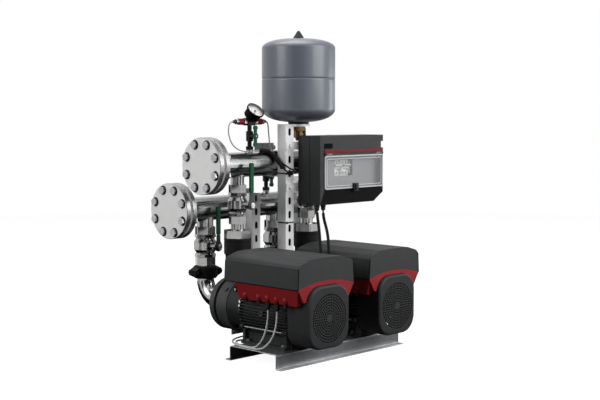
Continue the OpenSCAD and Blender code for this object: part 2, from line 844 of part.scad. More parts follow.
module suction_elbow() {
    bend_z = axis_z + elbow_r;
    straight = suction_y - elbow_r - suction_face;
    translate([0, 0, bend_z]) pipe(suction_od / 2, pipe_t, coupling_z - groove_gap - bend_z);
    translate([0, -elbow_r, bend_z]) rotate([90, 0, 90]) rotate([0, 0, -90])
        rotate_extrude(angle = 90) translate([elbow_r, 0]) difference() {
            circle(suction_od / 2 + 2);
            circle(suction_od / 2 - pipe_t);
        }
    translate([0, -elbow_r - straight, axis_z]) along_y() {
        pipe(suction_od / 2 + 2, pipe_t + 2, straight);
        ring_disc(suction_od / 2 + 8, suction_od / 2 - 1, min(10, straight));
    }
}

// Grooved couplings: two half housings held by two bolts
module grooved_couplings() color("#141414") at_suction() translate([0, 0, coupling_z])
    for (s = [0, 180]) rotate([0, 0, s]) coupling_half();

module coupling_half() {
    h = 45;
    r0 = suction_od / 2 + fit_gap;
    r1 = r0 + 15;
    reach = 63;
    ear_x = 36;
    ear_root = 21;
    ear_tip = 9;
    split = 0.6;
    difference() {
        union() {
            rotate_extrude() polygon([
                [r0, -h / 2], [r1 - 5, -h / 2], [r1, -h / 2 + 6], [r1, h / 2 - 6],
                [r1 - 5, h / 2], [r0, h / 2]
            ]);
            difference() {
                prism_y(0, 20) polygon([
                    [-reach, -ear_tip], [-ear_x, -ear_root], [ear_x, -ear_root], [reach, -ear_tip],
                    [reach, ear_tip], [ear_x, ear_root], [-ear_x, ear_root], [-reach, ear_tip]
                ]);
                translate([0, 0, -h]) cylinder(r = r0 + 1, h = 2 * h);
            }
            for (s = [-1, 1]) translate([s * (reach - 11), 20, 0])
                rotate([-90, 0, 0]) cylinder(r = 9, h = 7, $fn = 6);
        }
        translate([-reach - eps, -2 * reach, -h])
            cube([2 * (reach + eps), 2 * reach + split, 2 * h]);
    }
}

// Pump casing with its suction and discharge ports
module casing_shape() {
    y0 = casing_y0;
    y1 = casing_y1;
    r = casing_r;
    rotate_extrude() polygon([
        [0, y0], [r, y0], [r, y1 - 41], [r - 2, y1 - 39], [r - 11, y1 - 38], [r - 11, y1 - 28],
        [r - 1, y1 - 27], [r, y1 - 25], [r, y1 - 9], [r - 3, y1 - 2], [r - 9, y1],
        [40, y1], [40, suction_face], [0, suction_face]
    ]);
}

// Places of the bolts between the motor flange and the casing
module flange_bolt_ring(y) {
    for (a = [45 : 90 : 315]) rotate([0, 0, a]) translate([flange_ring, 0, y]) children();
}

module pump_casings() color("#2b2c2d") both_pumps() difference() {
    inlet_r = suction_od / 2 - pipe_t;
    union() {
        pump_shaft_line() casing_shape();
        translate([0, port_y, axis_z]) cylinder(r = port_boss_r, h = port_h);
        for (a = [-50, 50]) translate([0, casing_y0 + 22, axis_z]) rotate([0, a, 0])
            cylinder(r = 9, h = casing_r + 5, $fn = 6);
    }
    pump_shaft_line() {
        translate([0, 0, casing_y0 - eps]) cylinder(r = cavity_r, h = cavity_y1 - casing_y0 + eps);
        translate([0, 0, cavity_y1 - eps]) cylinder(r = inlet_r, h = suction_face - cavity_y1 + 2 * eps);
        flange_bolt_ring(casing_y0 - eps) cylinder(r = 5.5, h = 14 + eps);
    }
    translate([0, port_y, axis_z]) cylinder(r = check_bore, h = port_h + eps);
}

// Motor flange: cast bracket with bolt pockets, the drive-end bearing and the shaft seal
module motor_flanges() color("#303132") both_pumps() pump_shaft_line() difference() {
    spigot = 8;
    plate = 12;
    rotate_extrude() polygon([
        [0, motor_y1 - spigot], [stator_r - fit_gap, motor_y1 - spigot], [stator_r - fit_gap, motor_y1],
        [casing_r - 1, motor_y1], [casing_r, motor_y1 + 1], [casing_r, casing_y0 - 3],
        [casing_r - 1, casing_y0 - 2], [casing_r - 1, casing_y0], [0, casing_y0]
    ]);
    flange_bolt_ring(motor_y1 + 12) translate([-12, -13, 0])
        cube([40, 26, casing_y0 - plate - motor_y1 - 12]);
    flange_bolt_ring(casing_y0 - plate - eps) cylinder(r = 5.5, h = plate + 2 * eps);
    rotate_extrude() translate([38, motor_y1 - spigot - eps])
        square([28, casing_y0 - motor_y1 - 8]);
    translate([0, 0, motor_y1 - spigot - eps]) cylinder(r = de_seat_r + run_gap, h = bearing_w + eps);
    translate([0, 0, motor_y1 - spigot]) cylinder(r = 19, h = casing_y0 - motor_y1 + spigot);
    translate([0, 0, casing_y0 - seal_l]) cylinder(r = seal_r + run_gap, h = seal_l + eps);
}

// Finned motor housing with feet and a pad for the drive box
module motor_fins() {
    fin_t = 3;
    fin_pitch = 11;
    intersection() {
        for (i = [-7 : 7]) translate([-fin_r, -motor_y0 + 6, i * fin_pitch - fin_t / 2])
            cube([2 * fin_r, motor_y0 + motor_y1 - 12, fin_t]);
        translate([0, -motor_y0, 0]) along_y() cylinder(r = fin_r, h = motor_y0 + motor_y1);
    }
}

module motor_housings() color("#242526") both_pumps() translate([0, 0, axis_z]) difference() {
    wall = 10;
    foot_y0 = foot_bolt_y[0] - 22;
    foot_l = foot_bolt_y[1] - foot_bolt_y[0] + 44;
    drop = axis_z - base_h;
    union() {
        translate([0, -motor_y0, 0]) along_y() cylinder(r = motor_r, h = motor_y0 + motor_y1);
        translate([0, motor_y1 - 8, 0]) along_y() cylinder(r = fin_r - 2, h = 8);
        motor_fins();
        along_y() for (a = stay_angles, y = [-motor_y0 + 14, motor_y1 - 26]) rotate([0, 0, a])
            translate([stay_ring, 0, y]) {
                cylinder(r = 8, h = 12);
                translate([-20, -5, 0]) cube([20, 10, 12]);
            }
        translate([-pad_w / 2, pad_y0, 0]) cube([pad_w, pad_l, tray_floor - axis_z]);
        for (s = [-1, 1]) {
            translate([s * motor_foot_x - motor_foot_w / 2, foot_y0, -drop])
                cube([motor_foot_w, foot_l, motor_foot_h]);
            translate([s * foot_web_x - 6, foot_y0, -drop]) cube([12, foot_l, drop - 45]);
            for (y = [foot_y0, foot_y0 + foot_l - 12])
                translate([s * motor_foot_x - 6, y, -drop]) cube([12, 12, drop - 45]);
            translate([s * (fin_r - 5) - 4, -2, -12]) cube([8, 14, 14]);
        }
    }
    translate([0, -motor_y0 + wall, 0]) along_y() cylinder(r = stator_r, h = motor_y0 + motor_y1);
    translate([0, -motor_y0 - eps, 0]) along_y() cylinder(r = nde_seat_r - 6, h = wall + 2 * eps);
    translate([0, -motor_y0 - eps, 0]) along_y() cylinder(r = nde_seat_r + run_gap, h = wall - 2 + eps);
    for (s = [-1, 1], y = foot_bolt_y) translate([s * motor_foot_x, y, -drop - eps])
        cylinder(r = foot_bolt_r + 0.5, h = motor_foot_h + 2 * eps);
    for (s = [-1, 1]) translate([s * fin_r - 10, 5, -5]) along_x() cylinder(r = 4, h = 20);
    along_y() for (a = stay_angles) rotate([0, 0, a]) translate([stay_ring, 0, -motor_y0])
        cylinder(r = stay_r + 0.5, h = motor_y0 + motor_y1);
}

module stator_cores() color("peru") both_pumps() pump_shaft_line() difference() {
    turn = 24;
    rotate_extrude() polygon([
        [bore_r + 5, core_y0 - turn], [66, core_y0 - turn], [66, core_y0], [stator_r - fit_gap, core_y0],
        [stator_r - fit_gap, core_y1], [66, core_y1], [66, core_y1 + turn], [bore_r + 5, core_y1 + turn],
        [bore_r + 5, core_y1], [bore_r, core_y1], [bore_r, core_y0], [bore_r + 5, core_y0]
    ]);
    for (a = [0 : 15 : 345]) rotate([0, 0, a])
        translate([bore_r - 1, -1.2, core_y0 - eps]) cube([5, 2.4, core_y1 - core_y0 + 2 * eps]);
}

// Fan cover: a rounded shell with a round pattern of holes in its face
module fan_outline(grow) {
    translate([0, axis_z + fan_lift]) round_rect(fan_w + 2 * grow, fan_h + 2 * grow, fan_corner + grow);
}

module fan_slice(y, grow) {
    prism_y(y, y + 0.1) fan_outline(grow);
}

module fan_covers() color("#3a3b3c") both_pumps() difference() {
    edge = 7;
    rear = -fan_end + fan_depth;
    union() {
        hull($fn = 32) {
            fan_slice(-fan_end, -edge);
            fan_slice(-fan_end + edge / 3, -edge / 3);
            fan_slice(-fan_end + edge, 0);
        }
        prism_y(-fan_end + edge, rear) fan_outline(0);
    }
    prism_y(-fan_end + fan_wall, rear + eps) fan_outline(-edge - fan_wall);
    prism_y(-fan_end + edge + fan_wall, rear + eps) fan_outline(-fan_wall);
    translate([0, -fan_end - eps, axis_z]) along_y() {
        for (i = [0 : grille_rings - 1]) {
            r = 17 + i * grille_pitch;
            n = floor(2 * PI * r / (grille_pitch * 0.9) / 4) * 4;
            for (k = [0 : n - 1]) rotate([0, 0, 360 * k / n]) translate([r, 0, 0])
                cylinder(r = grille_hole, h = fan_wall + 2 * eps, $fn = 16);
        }
    }
}

// Pump stages: fixed diffuser cups around the impellers
module diffusers() color("lightgray") both_pumps() pump_shaft_line()
    for (i = [0 : stages - 1]) translate([0, 0, casing_y0 + 8 + i * stage_pitch]) difference() {
        rotate_extrude() polygon([
            [22, 0], [cavity_r - fit_gap, 0], [cavity_r - fit_gap, stage_pitch - 1],
            [cavity_r - 4, stage_pitch - 1], [cavity_r - 4, 4], [22, 4]
        ]);
        for (a = [0 : 60 : 300]) rotate([0, 0, a]) translate([40, 0, -eps]) cylinder(r = 6, h = 4 + 2 * eps);
    }

module bearings() color("lightsteelblue") both_pumps() pump_shaft_line() {
    translate([0, 0, motor_y1 - 8]) ring_disc(de_seat_r, de_shaft_r + run_gap, bearing_w);
    translate([0, 0, -motor_y0]) ring_disc(nde_seat_r, nde_shaft_r + run_gap, 8);
}

module shaft_seals() color("black") both_pumps() pump_shaft_line()
    translate([0, 0, casing_y0 - seal_l]) ring_disc(seal_r, shaft_r + run_gap, seal_l);

// Rotor: stepped shaft, core with end rings, and the impellers
module impeller() {
    hub = 18;
    gap = 9;
    shroud = 2.5;
    rotate_extrude() polygon([
        [0, 0], [impeller_r, 0], [impeller_r, shroud], [hub, shroud], [hub, gap + 2 * shroud], [0, gap + 2 * shroud]
    ]);
    translate([0, 0, gap + shroud]) ring_disc(impeller_r, 28, shroud);
    for (a = [0 : 60 : 300]) rotate([0, 0, a]) translate([hub - 2, -2, 0]) rotate([0, 0, -24])
        cube([impeller_r - hub - 4, 3, gap + shroud + 1]);
}

module rotor() {
    tail = -fan_end + 40;
    tip = casing_y0 + 8 + stages * stage_pitch - 2;
    rotate_extrude() polygon([
        [0, tail], [9, tail], [9, -motor_y0 - 4], [nde_shaft_r, -motor_y0 - 2], [nde_shaft_r, -motor_y0 + 8],
        [18, -motor_y0 + 12], [18, core_y0], [bore_r - 0.6, core_y0], [bore_r - 0.6, core_y1],
        [20, core_y1], [20, motor_y1 - 10], [de_shaft_r, motor_y1 - 8], [de_shaft_r, motor_y1 + 8],
        [shaft_r, motor_y1 + 10], [shaft_r, tip], [0, tip]
    ]);
    for (i = [0 : stages - 1]) translate([0, 0, casing_y0 + 16 + i * stage_pitch]) impeller();
}

// Cooling fan with straight radial blades
module fan() {
    y0 = -fan_end + 34;
    depth = 34;
    rotate_extrude() polygon([
        [9 + run_gap, y0 + 6], [16, y0 + 6], [18, y0 + 24], [fan_r - 6, y0 + depth],
        [fan_r - 6, y0 + depth + 3], [16, y0 + depth + 3], [9 + run_gap, y0 + depth + 3]
    ]);
    for (a = [0 : 40 : 320]) rotate([0, 0, a]) translate([17, -1.5, y0 + 6])
        cube([fan_r - 24, 3, depth - 4]);
}

module shaft_place(side) {
    translate([side * pump_x, 0, 0]) pump_shaft_line() children();
}

module rotor_1() color("silver") shaft_place(-1) rotor();
module rotor_2() color("silver") shaft_place(1) rotor();
module fan_1() color("#202020") shaft_place(-1) fan();
module fan_2() color("#202020") shaft_place(1) fan();

// Red tray under the drive cover: tapered skirt, floor and arched front band
module cover_arch(grow) {
    translate([0, box_z0 + arch_rise - arch_r]) circle(arch_r + grow, $fn = 180);
}

module tray_block(w_top, w_low, y0, y1, z0) {
    lift = 24;
    low_front = y0 + lift;
    low_rear = y1;
    hull() {
        translate([-w_top / 2, y0, box_z0 - 0.5]) cube([w_top, y1 - y0, 0.2]);
        translate([-w_low / 2, low_front, z0]) cube([w_low, low_rear - low_front, 0.2]);
    }
}

module motor_space(gap) {
    translate([0, -box_front - eps, axis_z]) along_y()
        cylinder(r = fin_r + gap, h = box_front + tray_rear + 2 * eps);
    translate([-(fin_r + gap), -box_front - eps, 0])
        cube([2 * (fin_r + gap), box_front + tray_rear + 2 * eps, axis_z + 52]);
}

module tray_band() {
    band_t = 12;
    foot_x = 110;
    prism_y(-box_front, -box_front + band_t) difference() {
        union() {
            intersection() {
                cover_arch(-seat_gap);
                translate([-box_w / 2 + 1, box_z0 - 0.6]) square([box_w - 2, 2 * arch_rise]);
            }
            polygon([
                [-box_w / 2 + 1, box_z0 - 0.6], [-foot_x, tray_z0 + 14], [foot_x, tray_z0 + 14],
                [box_w / 2 - 1, box_z0 - 0.6]
            ]);
        }
        fan_outline(1);
    }
}

module terminal_trays() color("#a3202c") both_pumps() difference() {
    inset = 34;
    union() {
        difference() {
            tray_block(box_w - 2, box_w - inset, -box_front, tray_rear, tray_z0);
            translate([0, -box_front - eps, 0]) cube([box_w, 2 * (12 + eps), 3 * axis_z], center = true);
            translate([-box_w / 2 + 14, -box_front + 16, tray_floor + tray_t])
                cube([box_w - 28, box_front + tray_rear - 24, 40]);
            motor_space(2);
            translate([-pad_w / 2 - 1, pad_y0 - 1, axis_z]) cube([pad_w + 2, pad_l + 2, tray_floor - axis_z]);
            prism_y(-box_front - eps, -fan_end + fan_depth + 2) fan_outline(1);
        }
        tray_band();
        for (x = [-100, 100], y = [-150, 60]) translate([x, y, tray_floor + tray_t - 1])
            cylinder(r = 5, h = 10);
    }
    for (s = [-1, 1], y = side_gland_y) translate([s * side_gland_x, y, tray_z0 - eps])
        cylinder(r = 7, h = 16);
}

// Drive cover: a faceted shell with an arched front edge
module cover_section(inset) {
    w = box_w / 2 - inset;
    top = box_z1 - inset;
    shoulder = 22;
    polygon([
        [-w, box_z0 - (inset > 0 ? 1 : 0)], [-w + 4, top - shoulder - 6], [-w + 11, top - shoulder + 3],
        [-w + 20, top - shoulder + 8], [-75, top - 2], [-40, top], [40, top], [75, top - 2],
        [w - 20, top - shoulder + 8], [w - 11, top - shoulder + 3], [w - 4, top - shoulder - 6],
        [w, box_z0 - (inset > 0 ? 1 : 0)]
    ]);
}

module terminal_covers() color("#38393a") both_pumps() difference() {
    union() {
        prism_y(-box_front, box_rear) cover_section(0);
        for (s = [-1, 1]) translate([s * (box_w / 2 - 11), box_rear - 26, box_z0]) cylinder(r = 9, h = 62);
    }
    prism_y(-box_front + cover_t, box_rear - cover_t) cover_section(cover_t);
    prism_y(-box_front - eps, -box_front + 12.5) cover_arch(0);
    for (s = [-1, 1], y = [-box_front + 20, box_rear - 26])
        translate([s * (box_w / 2 - 24), y, box_z1 - 28]) cylinder(r = 3.2, h = 40);
    translate([-62, -40, box_z1 - 1.5]) cube([124, 130, 10]);
}

// Drive electronics on the tray's posts
module drive_boards() color("darkgreen") both_pumps() {
    board_z = tray_floor + tray_t + 9;
    board_t = 2;
    board_w = 220;
    board_l = 240;
    board_y0 = -165;
    translate([-board_w / 2, board_y0, board_z]) cube([board_w, board_l, board_t]);
    for (x = [-70, -30, 30, 70]) translate([x, 20, board_z + board_t]) cylinder(r = 15, h = 45);
    translate([-80, -150, board_z + board_t]) cube([160, 26, 22]);
}

// Cable glands on the trays, the cabinet and the pump rears
module gland(bore, hex, l) {
    difference() {
        union() {
            cylinder(r = hex, h = l * 0.45, $fn = 6);
            rotate_extrude() polygon([
                [0, 0], [hex * 0.84, 0], [hex * 0.84, l * 0.8], [hex * 0.62, l], [0, l]
            ]);
            translate([0, 0, -8]) cylinder(r = hex * 0.66, h = 8);
        }
        translate([0, 0, -8 - eps]) cylinder(r = bore, h = l + 8 + 2 * eps);
    }
}

module cable_glands() color("#2a2a2a") {
    for (side = [-1, 1], s = [-1, 1], y = side_gland_y)
        translate([side * pump_x + s * side_gland_x, y, tray_z0]) mirror([0, 0, 1])
            gland(side + s == -2 ? loop_r + seat_gap : gland_bore, 10, 24);
    for (x = cab_gland_x) translate([x, cab_gland_y, cab_z0]) mirror([0, 0, 1]) gland(gland_bore, 10, 22);
}

// Membrane tank: two pressed shells meeting at a seam
module tank_profile(r, inset) {
    z0 = tank_z0 + inset;
    z1 = tank_top - inset;
    polygon(concat(
        [[0, z0]],
        [for (a = [0 : 10 : 60]) [r * 0.28 + (r * 0.64) * sin(a * 1.5) * 0.94, z0 + dome_lo * 0.62 * (1 - cos(a * 1.5))]],
        [for (a = [0 : 15 : 90]) [r - 14 + 14 * sin(a), z0 + dome_lo - 14 * cos(a)]],
        [for (a = [0 : 15 : 90]) [r - 16 + 16 * cos(a), z1 - dome_hi + 16 * sin(a)]],
        [for (a = [60 : -10 : 0]) [r * 0.28 + (r * 0.6) * sin(a * 1.5), z1 - dome_hi * 0.5 * (1 - cos(a * 1.5))]],
        [[0, z1]]
    ));
}

module tank_shell() color("#6b737c") translate(tank_axis) {
    bead = 1.2;
    for (upper = [false, true]) difference() {
        union() {
            rotate_extrude() tank_profile(tank_r, 0);
            translate([0, 0, tank_post_top + shelf_t]) cylinder(r = 38, h = 14);
            translate([0, 0, tank_post_top - 14]) cylinder(r = tank_neck_r, h = 34);
        }
        rotate_extrude() tank_profile(tank_r - tank_t, tank_t);
        translate([0, 0, tank_post_top - 14 - eps]) cylinder(r = 10, h = 50);
        translate([0, 0, tank_top - 10]) cylinder(r = 4, h = 20);
        translate([0, 0, upper ? tank_seam - 400 : tank_seam]) cylinder(r = 200, h = 400);
        translate([0, 0, tank_seam - bead]) ring_disc(tank_r + 5, tank_r - bead, 2 * bead);
    }
}

module tank_diaphragm() color("#202020") translate(tank_axis) {
    r = tank_r - tank_t - seat_gap;
    drop = 70;
    skin = 3;
    rotate_extrude() polygon(concat(
        [for (a = [0 : 10 : 90]) [r * sin(a), tank_seam - drop * cos(a)]],
        [[r, tank_seam + 8], [r - skin, tank_seam + 8]],
        [for (a = [90 : -10 : 0]) [(r - skin) * sin(a), tank_seam - (drop - skin) * cos(a)]]
    ));
}

module tank_cap() color("#1c1c1e") translate(tank_axis) translate([0, 0, tank_top])
    rotate_extrude() polygon([[0, 0], [19.5, 0], [19, 4], [6, 24], [4, 27], [0, 28]]);

// Brass service valve under the tank, with a bend to the discharge manifold
module tank_valve() color("darkgoldenrod") translate(tank_axis) {
    top = tank_post_top - 0.2;
    low = top - 52;
    outlet_z = tank_stem_z;
    reach = port_y - tank_y;
    bend = 18;
    r = 9;
    boss_top = discharge_z + pipe_r + 8;
    difference() {
        union() {
            translate([0, 0, top - 16]) cylinder(r = 25, h = 16, $fn = 6);
            translate([0, 0, low]) rotate_extrude() polygon([
                [0, 0], [9, 0], [12, 4], [12, 10], [15, 13], [15, 34], [18, 37], [18, 44], [0, 44]
            ]);
            translate([0, 0, outlet_z]) {
                along_y() cylinder(r = 12, h = 26);
                along_y() cylinder(r = r, h = reach - bend);
                along_x() cylinder(r = 8, h = 22);
            }
            translate([0, reach - bend, outlet_z - bend]) rotate([90, 0, 90])
                rotate_extrude(angle = 90) translate([bend, 0]) circle(r);
            translate([0, reach, boss_top]) cylinder(r = r, h = outlet_z - bend - boss_top);
            translate([0, reach, boss_top]) cylinder(r = 14, h = 10, $fn = 6);
        }
        translate([0, 0, top - 14.5]) cylinder(r = tank_neck_r + fit_gap, h = 20);
        translate([6, 0, outlet_z]) along_x() cylinder(r = tank_stem_r + run_gap, h = 20);
    }
}

// Small lever of the service valve, turning on its stem
module tank_valve_handle() color("#1c1c1e") translate([tank_x, tank_y, tank_stem_z]) {
    translate([7, 0, 0]) along_x() cylinder(r = tank_stem_r, h = 26);
    translate([26.5, 0, 0]) rotate([90, 0, 90]) linear_extrude(6) union() {
        circle(7);
        translate([-6, 0]) square([12, 22]);
        translate([0, 21]) circle(6);
    }
}

// Gauge stack: nipple, small valve, tee and gauge socket
module mini_valve(base, z, y_reach) {
    translate([0, 0, base]) {
        cylinder(r = 14, h = 12, $fn = 6);
        cylinder(r = 8, h = z - base);
    }
    translate([0, 0, z - 18]) cylinder(r = 13, h = 36, $fn = 8);
    translate([0, 0, z]) rotate([90, 0, 0]) cylinder(r = 9, h = y_reach - 6);
}

module stem_hole(z, y_reach) {
    translate([0, 0, z]) rotate([90, 0, 0]) cylinder(r = 4 + run_gap, h = y_reach);
}

module gauge_stack() color("gray") translate([-gauge_x, port_y, 0]) difference() {
    union() {
        mini_valve(stack_base, mini_valve_z, port_y - handle_y);
        translate([0, 0, mini_valve_z]) cylinder(r = 8, h = tee_z - mini_valve_z);
        translate([-16, -11, tee_z - 14]) cube([32, 22, 28]);
        translate([0, 0, tee_z + 13]) cylinder(r = 8, h = 12);
    }
    stem_hole(mini_valve_z, port_y - handle_y);
    gauge_place() translate([0, 0, -0.2]) cylinder(r = gauge_r + 5, h = 60);
}

module gauge_place() {
    translate([0, gauge_back[1] - port_y, gauge_back[2]]) rotate([gauge_tilt, 0, 0]) children();
}

module gauge_valve_handle() color("seagreen")
    translate([-gauge_x, handle_y, mini_valve_z]) butterfly();

// Butterfly handle on a plain stem, with the wings up and down
module butterfly() {
    wing = 39;
    t = 9;
    difference() {
        prism_y(-t / 2, t / 2) {
            circle(11);
            for (s = [-1, 1]) translate([0, s * wing / 2]) {
                square([9, wing - 12], center = true);
                translate([0, s * (wing / 2 - 9)]) circle(8);
            }
        }
        translate([0, -t / 2 - eps, 0]) along_y() cylinder(r = 6, h = 3);
    }
    translate([0, t / 2 - eps, 0]) along_y() cylinder(r = 4, h = 18);
}

module switch_stack() color("gray") translate([switch_x, suction_y, 0]) difference() {
    box_rise = 177;
    box_base = suction_z + box_rise;
    union() {
        mini_valve(switch_base, switch_valve_z, suction_y - switch_handle_y);
        translate([0, 0, switch_valve_z]) cylinder(r = 8, h = box_base - switch_valve_z);
        translate([0, 0, box_base - 14]) cylinder(r = 13, h = 14, $fn = 6);
        translate([-10, 0, box_base]) linear_extrude(58) round_rect(64, 48, 6);
        translate([20, 0, box_base + 40]) along_x() cylinder(r = 9, h = 24);
    }
    stem_hole(switch_valve_z, suction_y - switch_handle_y);
}

module switch_valve_handle() color("seagreen")
    translate([switch_x, switch_handle_y, switch_valve_z]) butterfly();

// Pressure gauge: case with bezel, dial and window, tilted to the front
module pressure_gauge() color("#161616") translate([-gauge_x, port_y, 0]) gauge_place() {
    difference() {
        rotate_extrude() polygon([
            [0, 0], [gauge_r - 5, 0], [gauge_r - 2, 3], [gauge_r - 2, gauge_depth - 9],
            [gauge_r + 2, gauge_depth - 7], [gauge_r + 2, gauge_depth], [0, gauge_depth]
        ]);
        translate([0, 0, gauge_depth - 9]) cylinder(r = gauge_r - 2.5, h = 20);
        translate([0, 0, gauge_depth - 2.5]) cylinder(r = gauge_r - 0.5, h = 20);
        translate([0, 0, gauge_depth - 14]) cylinder(r = 1.5 + run_gap, h = 20);
    }
    translate([0, 0, gauge_depth - 8.9]) ring_disc(gauge_r - 2.7, 3, 1);
    translate([0, 0, gauge_depth - 2.4]) cylinder(r = gauge_r - 0.7, h = 2);
}

module gauge_pointer() color("black") translate([-gauge_x, port_y, 0]) gauge_place()
    translate([0, 0, gauge_depth - 13]) {
        cylinder(r = 1.5, h = 9);
        translate([0, 0, 6]) cylinder(r = 3.5, h = 2);
        translate([0, 0, 6.5]) linear_extrude(1) rotate([0, 0, 225])
            polygon([[-7, -1.6], [0, -1.4], [22, -0.5], [22, 0.5], [0, 1.4], [-7, 1.6]]);
    }

// Pressure transmitters on both sides of the tee
module transmitter() {
    cylinder(r = 9, h = 6);
    translate([0, 0, 6]) cylinder(r = 13, h = 10, $fn = 6);
    translate([0, 0, 16]) rotate_extrude() polygon([[0, 0], [10.5, 0], [11.5, 2], [11.5, 24], [9.5, 27], [0, 27]]);
    translate([0, 0, 43]) rotate_extrude() polygon([
        [lead_r + seat_gap, 0], [9, 0], [9, 10], [6, 15], [5, 21], [lead_r + seat_gap, 21]
    ]);
}

module pressure_transmitters() color("#7a2028") translate([-gauge_x, port_y, tee_z])
    for (s = [-1, 1]) translate([s * 16, 0, 0]) rotate([0, s * 90, 0]) transmitter();

// Control cabinet: housing with a window recess, hinge ears and a red strip
module cabinet_outline() {
    chamfer = 34;
    nick = 12;
    difference() {
        polygon([
            [cab_x0, cab_z0], [cab_x1 - chamfer - 20, cab_z0], [cab_x1, cab_z0 + chamfer],
            [cab_x1, cab_z1], [cab_x0, cab_z1]
        ]);
        translate([cab_x1 - nick, cab_z1 - 48]) square([nick + 1, 24]);
    }
}

module cabinet_inside() {
    inner_x1 = cab_x1 - cab_t - 1;
    polygon([
        [cab_x0 + cab_t, cab_z0 + cab_t], [cab_x1 - 60, cab_z0 + cab_t], [inner_x1, cab_z0 + 41],
        [inner_x1, cab_z1 - 52], [cab_x1 - 16, cab_z1 - 52],
        [cab_x1 - 16, cab_z1 - cab_t], [cab_x0 + cab_t, cab_z1 - cab_t]
    ]);
}

module window_opening() {
    rim = 4;
    translate([window_x0 + rim, window_z0 + rim])
        square([window_x1 - window_x0 - 2 * rim, hinge_z - window_z0 - rim - 12]);
}

module cabinet_housing() color("#262728") {
    ear = 6;
    pin_l = 16;
    difference() {
        union() {
            prism_y(cab_front, cab_mid) cabinet_outline();
            prism_y(cab_mid - eps, cab_back) translate([cab_x0, cab_z0]) square([pan_x1 - cab_x0, cab_h]);
        }
        prism_y(cab_front + cab_t, cab_mid - cab_t) cabinet_inside();
        prism_y(cab_mid - cab_t - eps, cab_back - cab_t) translate([cab_x0 + cab_t, cab_z0 + cab_t])
            square([pan_x1 - cab_x0 - 2 * cab_t, cab_h - 2 * cab_t]);
        prism_y(cab_front - eps, cab_front + cab_t + eps) window_opening();
        for (x = cab_gland_x) translate([x, cab_gland_y, cab_z0 - eps]) cylinder(r = 7, h = cab_t + 2 * eps);
        translate([cab_x0 - eps, cab_front + 50, cab_z0 - eps]) cube([2, 4, cab_h + 2 * eps]);
    }
    translate([window_x0 + 2, hinge_y + 1, strip_z0])
        cube([window_x1 - window_x0 - 4, cab_front - hinge_y - 1 + eps, strip_h]);
    for (s = [0, 1]) {
        x = s == 0 ? window_x0 + 2 : window_x1 - 2 - ear;
        translate([x, hinge_y, hinge_z]) {
            along_x() cylinder(r = knuckle_r, h = ear);
            translate([0, 0, -knuckle_r]) cube([ear, cab_front - hinge_y + eps, 2 * knuckle_r]);
            translate([s == 0 ? ear : -pin_l, 0, 0]) along_x() cylinder(r = pin_r, h = pin_l);
        }
    }
    prism_y(panel_y, panel_y + 2) difference() {
        intersection() {
            cabinet_inside();
            translate([window_x0, window_z0]) square([window_x1 - window_x0 - 2, hinge_z - window_z0]);
        }
        translate([breaker_x0 - 2, breaker_z - 30])
            square([2 * breaker_w + breaker_gap + 4, 60]);
    }
    for (s = [0, 1]) translate([s == 0 ? window_x0 + 4 : pan_x1 - 16, panel_y + 1, breaker_z])
        along_y() cylinder(r = 5, h = cab_back - cab_t - panel_y);
    translate([window_x0 + 20, cab_back - cab_t - 8, breaker_z - 17.5])
        cube([pan_x1 - window_x0 - 44, 8 + eps, 35]);
}

// Hinged clear window with its latch
module cabinet_window() color("lightgray", 0.5) {
    y1 = cab_front - seat_gap;
    ear = 6;
    difference() {
        union() {
            prism_y(y1 - window_t, y1) translate([(window_x0 + window_x1) / 2, (window_z0 + hinge_z - 2) / 2])
                round_rect(window_x1 - window_x0, hinge_z - 2 - window_z0 - 4, 6);
            for (x = [window_x0 + 2 + ear + seat_gap, window_x1 - 2 - ear - seat_gap - knuckle_l])
                translate([x, hinge_y, hinge_z]) {
                    along_x() cylinder(r = knuckle_r - 0.3, h = knuckle_l);
                    translate([0, -0.3, -10]) cube([knuckle_l, 3, 10]);
                }
        }
        for (x = [window_x0 + 2 + ear, window_x1 - 2 - ear - knuckle_l])
            translate([x - 1, hinge_y, hinge_z]) along_x() cylinder(r = pin_r + run_gap, h = knuckle_l + 2);
        for (x = [window_x0 - 1, window_x1 - 2 - ear - seat_gap])
            translate([x, y1 - window_t - 1, hinge_z - knuckle_r - seat_gap]) cube([ear + 4, 10, 20]);
    }
    latch_x = (window_x0 + window_x1) / 2;
    translate([latch_x, y1 - window_t, window_z0 + 6]) {
        prism_y(-9, 0) round_rect(26, 30, 6);
        prism_y(-14, -9) round_rect(14, 22, 5);
    }
}

// Circuit breakers on the rail, each with a rocking toggle
module breakers() color("white")
    for (i = [0, 1]) translate([breaker_x0 + i * (breaker_w + breaker_gap), 0, breaker_z]) {
        depth = cab_back - cab_t - 8 - breaker_y;
        difference() {
            translate([0, breaker_y, -breaker_h / 2]) cube([breaker_w, depth, breaker_h]);
            translate([2, breaker_y - eps, -14]) cube([breaker_w - 4, 14, 28]);
            translate([-eps, breaker_y - eps, 22]) cube([breaker_w + 2 * eps, 10, 30]);
            translate([-eps, breaker_y - eps, -52]) cube([breaker_w + 2 * eps, 10, 30]);
        }
        for (x = [2 - eps, breaker_w - 12 + eps]) translate([x, breaker_y + 7, 0])
            along_x() cylinder(r = 2, h = 10);
    }

module breaker_toggle(i) {
    translate([breaker_x0 + i * (breaker_w + breaker_gap), breaker_y + 7, breaker_z]) difference() {
        union() {
            translate([5.3, 0, 0]) along_x() cylinder(r = toggle_r, h = breaker_w - 10.6);
            translate([5.3, 0, 0]) rotate([-30, 0, 0]) translate([0, -20, -2.5])
                cube([breaker_w - 10.6, 20, 5]);
        }
        translate([4, 0, 0]) along_x() cylinder(r = 2 + run_gap, h = breaker_w);
    }
}

module breaker_toggle_1() color("#202020") breaker_toggle(0);
module breaker_toggle_2() color("#202020") breaker_toggle(1);

